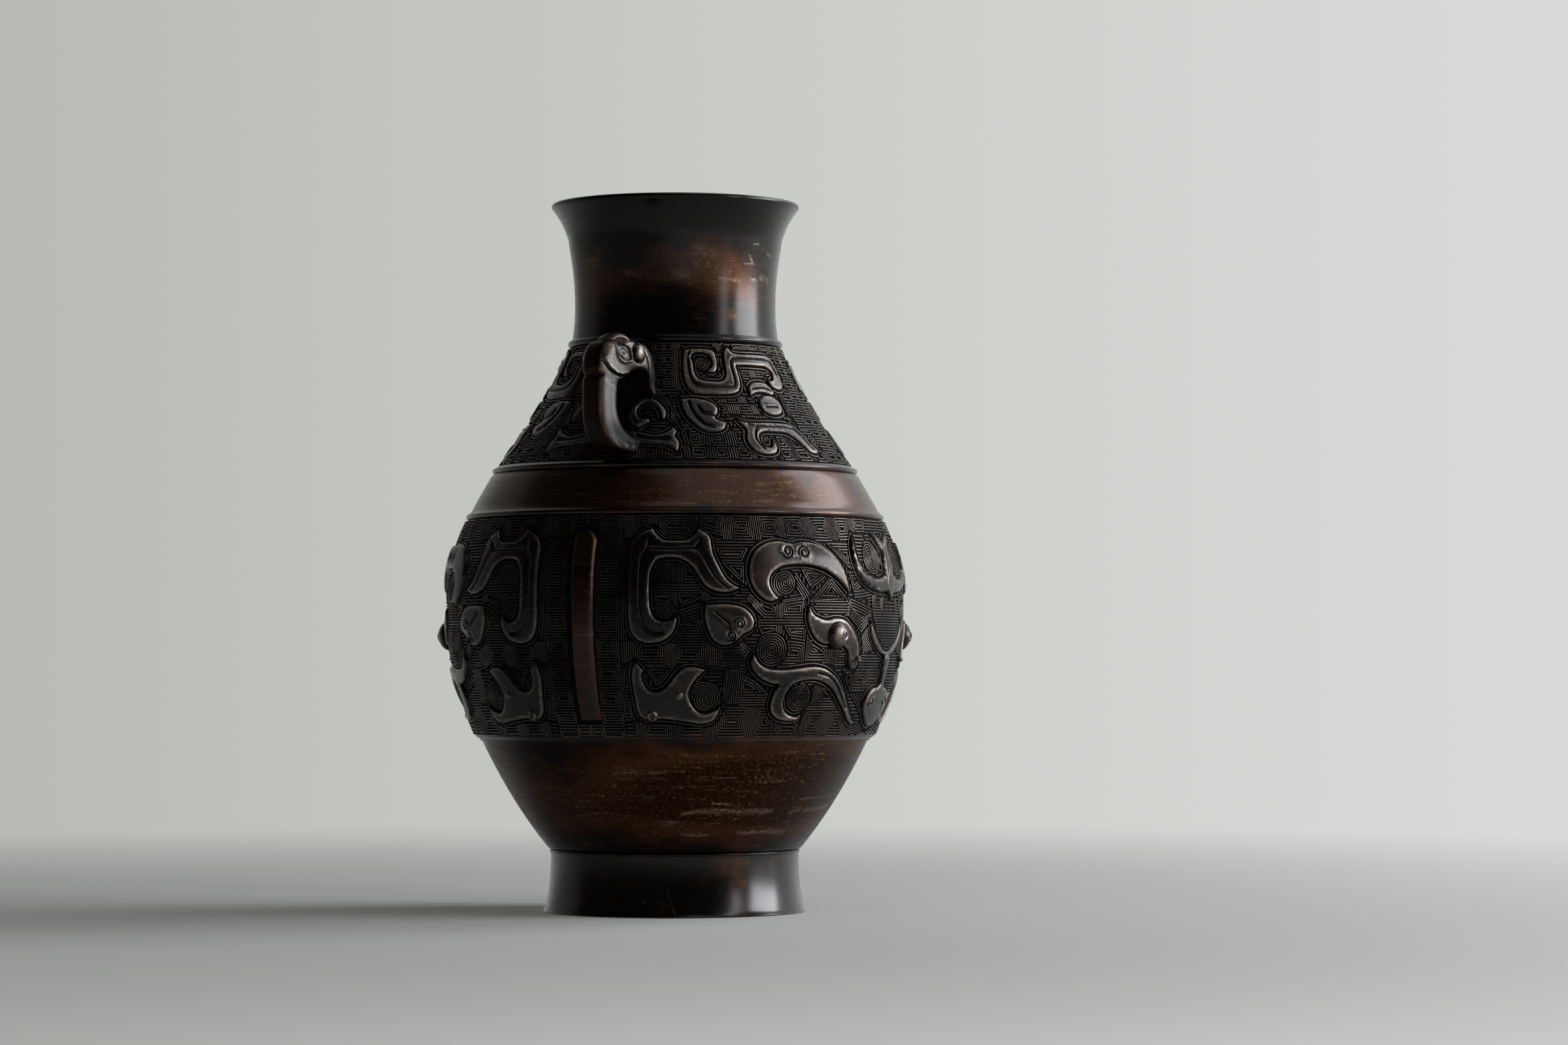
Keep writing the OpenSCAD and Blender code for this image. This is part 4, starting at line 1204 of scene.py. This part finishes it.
def vectors(tree, operation, a, b=(0, 0, 0)):
    """The same for vectors; b is a number where the operation is SCALE."""
    node = add(tree, "ShaderNodeVectorMath", {0: a, 3 if operation == "SCALE" else 1: b}, operation=operation)
    return node.outputs["Value" if operation in ("DOT_PRODUCT", "DISTANCE", "LENGTH") else "Vector"]


def blend(tree, value, low, high, to_low=0.0, to_high=1.0, curve="SMOOTHSTEP"):
    """Goes from to_low to to_high while the value goes from low to high."""
    return add(tree, "ShaderNodeMapRange", {0: value, 1: low, 2: high, 3: to_low, 4: to_high},
               interpolation_type=curve).outputs[0]


def mix(tree, share, a, b):
    """Colour a where the share is 0, colour b where it is 1."""
    return add(tree, "ShaderNodeMix", {"Factor": share, 6: a, 7: b}, data_type="RGBA").outputs[2]


def noise(tree, place, scale, detail, roughness, squeeze=None):
    """A noise with its scale in spots to the mm; a squeeze under 1 makes it longer along that axis."""
    if squeeze:
        place = vectors(tree, "MULTIPLY", place, squeeze)
    return add(tree, "ShaderNodeTexNoise", {"Vector": place, "Scale": scale, "Detail": detail,
                                            "Roughness": roughness}).outputs[0]


def new_material(name):
    material = bpy.data.materials.new(name)
    material.use_nodes = True
    material.node_tree.nodes.clear()
    return material, material.node_tree


# Scratches and nicks of the plain bands, as s and z of both ends, half width in mm and strength
SCRATCHES = [(36, 56.8, 43, 56.7, 0.5, 0.7), (25.6, 51.8, 32, 53.5, 0.9, 0.6), (33, 53.2, 60, 52.7, 1.4, 0.6),
    (70, 51.7, 75, 53.2, 0.8, 0.6), (78, 52.3, 96, 54, 1.2, 0.6), (72, 58.4, 92, 59.5, 0.5, 0.6),
    (49, 42.1, 54, 42, 0.9, 0.6), (55, 42.7, 72, 42.2, 1.2, 0.5), (26, 41.4, 36, 41.3, 0.6, 0.5),
    (68.2, 331, 71.5, 327, 0.6, 0.9), (64.2, 326.8, 72.6, 327.3, 0.4, 0.7), (70, 319.4, 76, 318.6, 1.0, 0.5),
    (79, 320.6, 88, 319.4, 1.7, 0.55), (49, 318.4, 62, 318.0, 1.2, 0.35), (70.3, 336.8, 74.7, 337.1, 0.5, 0.6),
    (34, 334, 44.6, 330.6, 2.6, 0.22), (22, 321.1, 30, 320.1, 2.4, 0.2), (-5, 321.5, 3, 320, 1.6, 0.3),
    (84, 332.8, 88, 331.8, 1.2, 0.6), (19.6, 13.7, 23.5, 1.6, 0.35, 0.9), (8.6, 8.3, 9.9, 7.1, 0.6, 0.8)]
# Radius in mm at which their angles are laid out flat
SCRATCH_RADIUS = 75


def scratch(tree, place, mark):
    """The strength of one scratch at a place, where (s, z) has been laid out flat at the scratches' radius."""
    s0, z0, s1, z1, half, strength = mark
    start, end = (Vector((math.radians(s) * SCRATCH_RADIUS, z, 0)) for s, z in ((s0, z0), (s1, z1)))
    way = (end - start).normalized()
    off = vectors(tree, "SUBTRACT", place, start)
    along = add(tree, "ShaderNodeClamp", {0: vectors(tree, "DOT_PRODUCT", off, way),
                                          2: (end - start).length}).outputs[0]
    gap = vectors(tree, "DISTANCE", off, vectors(tree, "SCALE", way, along))
    return blend(tree, gap, half * 0.3, half * 1.4, strength, 0.0)


def scratched(tree, coords, blotches):
    """How strongly the plain bands are scratched, in lines that waver with the blotches, and the height in mm."""
    x, y, z = add(tree, "ShaderNodeSeparateXYZ", {0: coords}).outputs
    angle = maths(tree, "ARCTAN2", maths(tree, "MULTIPLY", y, -1.0), maths(tree, "MULTIPLY", x, -1.0))
    height = maths(tree, "MULTIPLY_ADD", blotches, 3.0, maths(tree, "SUBTRACT", z, 1.5))
    around = maths(tree, "MULTIPLY", angle, SCRATCH_RADIUS)
    place = add(tree, "ShaderNodeCombineXYZ", {0: around, 1: height}).outputs[0]
    worn = 0.0
    for mark in SCRATCHES:
        worn = maths(tree, "MAXIMUM", scratch(tree, place, mark), worn)
    return worn, z


# Colours under the warm metal and in its scratches, the wax left on the lower body, and a squeeze that draws
# spots out level
# the deep brown is partly the metal's own colour and partly painted shade on the lower body
DEEP_BROWN_AND_SHADE, FINE_SCRATCH, BARE_SCRATCH, LITTLE_WAX = "1e0b04", "8a8078", "a5937c", 0.15
LEVEL = (0.5, 0.5, 1.0)


def bronze(name, oxide, warm, rubbed, recess, rough, grain_mm, pits, gold=0.0, brushed=0.0, wax=0.34, edge=0.5):
    """Waxed and patinated bronze. The mesh says where it is warm (brown) and where it is worn (raised)."""
    material, tree = new_material(name)
    coords = vectors(tree, "SCALE", add(tree, "ShaderNodeTexCoord").outputs["Object"], 1 / MM)
    wear, warmth = (add(tree, "ShaderNodeAttribute", attribute_name=n).outputs["Fac"] for n in ("wear", "warm"))

    # Clouds of 30 mm, blotches of 8 mm, turning marks 1 mm high and 20 mm long, and a grain
    clouds = noise(tree, coords, 1 / 30, 6.0, 0.62)
    marks = noise(tree, coords, 0.9, 6.0, 0.7, (0.05, 0.05, 1.0))
    blotches = noise(tree, coords, 1 / 8, 5.0, 0.7, LEVEL)
    grain = noise(tree, coords, 1 / grain_mm, 5.0, 0.65)

    # Oxide that breaks up into brown, and into a deep brown where it is warmest, partly painted shade on the lower
    # body
    broken = maths(tree, "MULTIPLY_ADD", clouds, 1.3, maths(tree, "MULTIPLY", marks, 0.35 if brushed else 0.2))
    broken = maths(tree, "MULTIPLY_ADD", blotches, 0.9, broken)
    brown = blend(tree, maths(tree, "ADD", broken, warmth), 1.36, 1.86)
    colour = mix(tree, brown, linear(oxide), linear(warm))
    colour = mix(tree, blend(tree, warmth, 0.6, 0.95, 0.0, 0.75), colour, linear(DEEP_BROWN_AND_SHADE))
    if gold:
        # Rubbed spots, then fine scratches 50 mm long in the brown, then the single scratches
        spots = blend(tree, maths(tree, "ADD", blotches, warmth), 0.88, 1.2)
        rubs = maths(tree, "MULTIPLY", blend(tree, marks, 0.5, 0.66, 0.1, 1.0), spots)
        rubs = maths(tree, "MULTIPLY", rubs, blend(tree, grain, 0.45, 0.65, 0.0, gold))
        colour = mix(tree, rubs, colour, linear(rubbed))
        lines = blend(tree, noise(tree, coords, 1.0, 4.0, 0.6, (0.02, 0.02, 1.5)), 0.6, 0.68)
        lines = maths(tree, "MULTIPLY", lines, blend(tree, blotches, 0.48, 0.6, 0.0, 0.5))
        colour = mix(tree, maths(tree, "MULTIPLY", lines, brown), colour, linear(FINE_SCRATCH))
        worn, height_mm = scratched(tree, coords, blotches)
        fine = blend(tree, noise(tree, coords, 1 / 1.3, 6.0, 0.75, LEVEL), 0.4, 0.66, 0.1, 0.8)
        colour = mix(tree, maths(tree, "MULTIPLY", worn, fine), colour, linear(BARE_SCRATCH))
    else:
        # rubbed tops: worn metal; on the birds' heads their light grey is partly painted highlight
        spots = blend(tree, maths(tree, "ADD", clouds, grain), 0.8, 1.15, 0.1, 1.0)
        tops = maths(tree, "MULTIPLY", blend(tree, wear, 0.45, 1.0), spots)
        colour = mix(tree, tops, colour, linear(rubbed))
    # the recess colour is patina in hollows, and on the spiral ground partly painted shade
    open_metal = blend(tree, wear, edge - 0.48, edge)
    colour = mix(tree, open_metal, linear(recess), colour)

    uneven = blend(tree, maths(tree, "ADD", grain, marks), 0.7, 1.3, rough - 0.05, rough + 0.12)
    roughness = add(tree, "ShaderNodeMix", {0: open_metal, 2: 0.62, 3: uneven}, data_type="FLOAT").outputs[0]
    relief_height = maths(tree, "MULTIPLY_ADD", marks, brushed, grain)
    bump = add(tree, "ShaderNodeBump", {"Height": relief_height, "Strength": 0.6, "Distance": pits * MM}).outputs[0]
    waxed = maths(tree, "MULTIPLY", open_metal, blend(tree, warmth, 0.6, 0.95, wax, 0.03))
    if gold:
        # Most wax on the foot, little on the lower body, and brown metal duller than black
        body = maths(tree, "MAXIMUM", blend(tree, height_mm, 29, 33, 1.5, LITTLE_WAX),
                     blend(tree, height_mm, 84, 92, LITTLE_WAX, 1.0))
        waxed = maths(tree, "MULTIPLY", waxed, body)
        roughness = maths(tree, "MULTIPLY_ADD", brown, 0.08, roughness)
    surface = add(tree, "ShaderNodeBsdfPrincipled", {
        "Base Color": colour, "Metallic": maths(tree, "MULTIPLY_ADD", open_metal, 0.7, 0.3), "Roughness": roughness,
        "Normal": bump, "Specular IOR Level": maths(tree, "MULTIPLY_ADD", open_metal, 0.4, 0.1),
        "Coat Weight": waxed, "Coat Roughness": 0.2})
    add(tree, "ShaderNodeOutputMaterial", {"Surface": surface.outputs[0]})
    return material


# Brown-black oxide under wax, rubbed through to brown and to golden scratches that run round the vase
band_bronze = bronze("brown patinated cast bronze, turned and waxed", "120f0e", "3f2413", "9a7a52", "0e0a09",
                     0.29, 1.6, 0.08, gold=0.7, brushed=0.8, wax=0.46)
# Grey-brown raised work, lighter where hands have rubbed its edges
motif_bronze = bronze("raised bronze, waxed, worn at the edges", "1a1715", "2f251e", "847a71", "0b0908",
                      0.35, 1.1, 0.3, wax=0.4)
# Fine lines with black between them, partly patina and partly painted shade, and a slight painted glint on their
# top edges
ridge_bronze_with_painted_shade = bronze("spiral ground of cast bronze, dull", "161210", "251e1a", "5c544d", "020202",
                      0.36, 1.0, 0.2, wax=0.2, edge=0.85)
# Grey skin on the birds' heads, partly worn metal and partly painted highlight, with red-brown left in the carved
# lines
handle_bronze_with_painted_highlight = bronze("brazed bronze handle, grey where handled and red-brown in its hollows", "1b1713", "382518",
                       "9d948a", "0b0806", 0.38, 1.2, 0.22)

# Pieces
profile, zone = vessel_profile()
points, faces = revolve(profile, VESSEL_SIDES)
vessel = make_piece("vessel_body", points, faces, np.repeat(zone, VESSEL_SIDES), band_bronze, smooth_angle=35,
                    warm=warmth(points))
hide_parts("vessel")
lower_motifs = motifs_piece("lower_motifs", "lower", LOWER_MOTIFS, motif_bronze, QUARTERS, eyes=LOWER_EYES)
mask_motifs = motifs_piece("mask_motifs", "lower", MASK_MOTIFS, motif_bronze, HALVES, True)
upper_motifs = motifs_piece("upper_motifs", "upper", UPPER_MOTIFS, motif_bronze, QUARTERS)
flanges = flange_piece("flanges", band_bronze)
handles = [handle_piece("bird_left", 0, handle_bronze_with_painted_highlight), handle_piece("bird_right", 180, handle_bronze_with_painted_highlight)]
for piece, node in zip(handles, ("handle_left", "handle_right")):
    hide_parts(node)
    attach(piece, "root")
lower_ridges = ridges_piece("lower_ridges", "lower", LOWER_MOTIFS, MASK_MOTIFS, LOWER_CELLS, LOWER_SPIRALS)
upper_ridges = ridges_piece("upper_ridges", "upper", UPPER_MOTIFS, [], UPPER_CELLS, UPPER_SPIRALS)
for piece in (vessel, lower_motifs, mask_motifs, upper_motifs, flanges, lower_ridges, upper_ridges):
    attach(piece, "root")

# Camera, set so that the outline falls on the photograph's
CAMERA_AT, CAMERA_TURN, LENS_MM, SENSOR_MM = (-2.078, -0.891, 0.1234), (91.886, 0, -68.2), 101.74, 36
# Its line of sight over the floor and the way to its right, its distance from the axis, and its heading from there
BACK, ACROSS = Vector((0.919, 0.394, 0)), Vector((0.394, -0.919, 0))
CAMERA_BACK, CAMERA_HEADING = 2.26, -156.8
# The backdrop in m: where its floor begins, where it bends, the bend's radius, and the wall's top and half width
FLOOR_START, BEND, BEND_RADIUS, WALL_TOP, BACKDROP_HALF = -6.0, 3.5, 1.0, 7.0, 30.0


def sweep():
    """A floor that curves up into a wall behind the vase, seen from the camera's side."""
    mesh = bpy.data.meshes.new("backdrop")
    bend = [(BEND + BEND_RADIUS * math.sin(a), BEND_RADIUS - BEND_RADIUS * math.cos(a))
            for a in np.radians(np.arange(6, 91, 6))]
    line = [(FLOOR_START, 0.0), (BEND, 0.0)] + bend + [(BEND + BEND_RADIUS, WALL_TOP)]
    verts = [BACK * d + ACROSS * w + Vector((0, 0, h)) for d, h in line for w in (-BACKDROP_HALF, BACKDROP_HALF)]
    mesh.from_pydata(verts, [], [(2 * i, 2 * i + 1, 2 * i + 3, 2 * i + 2) for i in range(len(line) - 1)])
    mesh.shade_smooth()
    backdrop = bpy.data.objects.new("backdrop", mesh)
    bpy.context.scene.collection.objects.link(backdrop)
    return backdrop


def backdrop_paper():
    """Matt pale grey paper, glowing away from the vase, with painted light to the right and painted shade to the
    left.
    """
    paper, tree = new_material("matt pale grey backdrop with painted light and shade")
    where = add(tree, "ShaderNodeTexCoord").outputs["Object"]
    depth = maths(tree, "ADD", vectors(tree, "DOT_PRODUCT", where, BACK), CAMERA_BACK)
    aside = maths(tree, "DIVIDE", vectors(tree, "DOT_PRODUCT", where, ACROSS), maths(tree, "MAXIMUM", depth, 1.0))
    # painted light: the glow grows brighter from left to right, towards the window
    painted_light_falloff = mix(tree, blend(tree, aside, -0.168, 0.19, curve="LINEAR"), linear("b6b8b3"), linear("d9dbd8"))
    seen = add(tree, "ShaderNodeLightPath").outputs
    direct = maths(tree, "MAXIMUM", seen["Is Camera Ray"], seen["Is Glossy Ray"])
    beyond = blend(tree, vectors(tree, "LENGTH", where), 0.25, 1.3, 0.15, 1.0)
    shade = blend(tree, aside, -0.58, -0.18, 0.4, 1.0, "LINEAR")
    diffuse = add(tree, "ShaderNodeBsdfDiffuse", {"Color": linear("cdcecb")}).outputs[0]
    glow = add(tree, "ShaderNodeEmission", {"Color": painted_light_falloff, "Strength": shade}).outputs[0]
    mixed = add(tree, "ShaderNodeMixShader", {0: maths(tree, "MULTIPLY", direct, beyond), 1: diffuse, 2: glow})
    add(tree, "ShaderNodeOutputMaterial", {"Surface": mixed.outputs[0]})
    return paper


backdrop = sweep()
backdrop.data.materials.append(backdrop_paper())

# Light: a tall window to the right in two panes, a narrow one, a weak ceiling and a dim room
# The point that the lamps look at
AIM = Vector((0, 0, 0.25))


def area_light(name, direction, height, distance, width, tall, power, colour="f8f9ff"):
    """A soft light aimed at the vase; direction is degrees to the right of the camera's line."""
    data = bpy.data.lights.new(name, "AREA")
    data.shape, data.size, data.size_y = "RECTANGLE", width, tall
    data.energy, data.color = power, linear(colour)[:3]
    lamp = bpy.data.objects.new(name, data)
    a = math.radians(CAMERA_HEADING + direction)
    lamp.location = (distance * math.cos(a), distance * math.sin(a), height)
    lamp.rotation_euler = (AIM - lamp.location).to_track_quat("-Z", "Y").to_euler()
    bpy.context.scene.collection.objects.link(lamp)


area_light("window_low", 90, 1.05, 4.0, 2.3, 1.4, 130)
area_light("window_high", 113, 1.15, 1.2, 0.7, 0.8, 9)
area_light("narrow_pane", 57, 0.6, 1.2, 0.2, 0.8, 2.3)
area_light("ceiling", 45, 1.75, 0.7, 1.4, 1.4, 4, "ffffff")
world = bpy.data.worlds.new("dim room")
bpy.context.scene.world = world
world.use_nodes = True
world.node_tree.nodes["Background"].inputs[0].default_value = linear("8f8f8c")
world.node_tree.nodes["Background"].inputs[1].default_value = 0.1

camera = bpy.data.objects.new("camera", bpy.data.cameras.new("camera"))
camera.data.lens, camera.data.sensor_width = LENS_MM, SENSOR_MM
camera.location = CAMERA_AT
camera.rotation_euler = [math.radians(a) for a in CAMERA_TURN]
bpy.context.scene.collection.objects.link(camera)
bpy.context.scene.camera = camera
bpy.context.scene.view_settings.view_transform = "Standard"
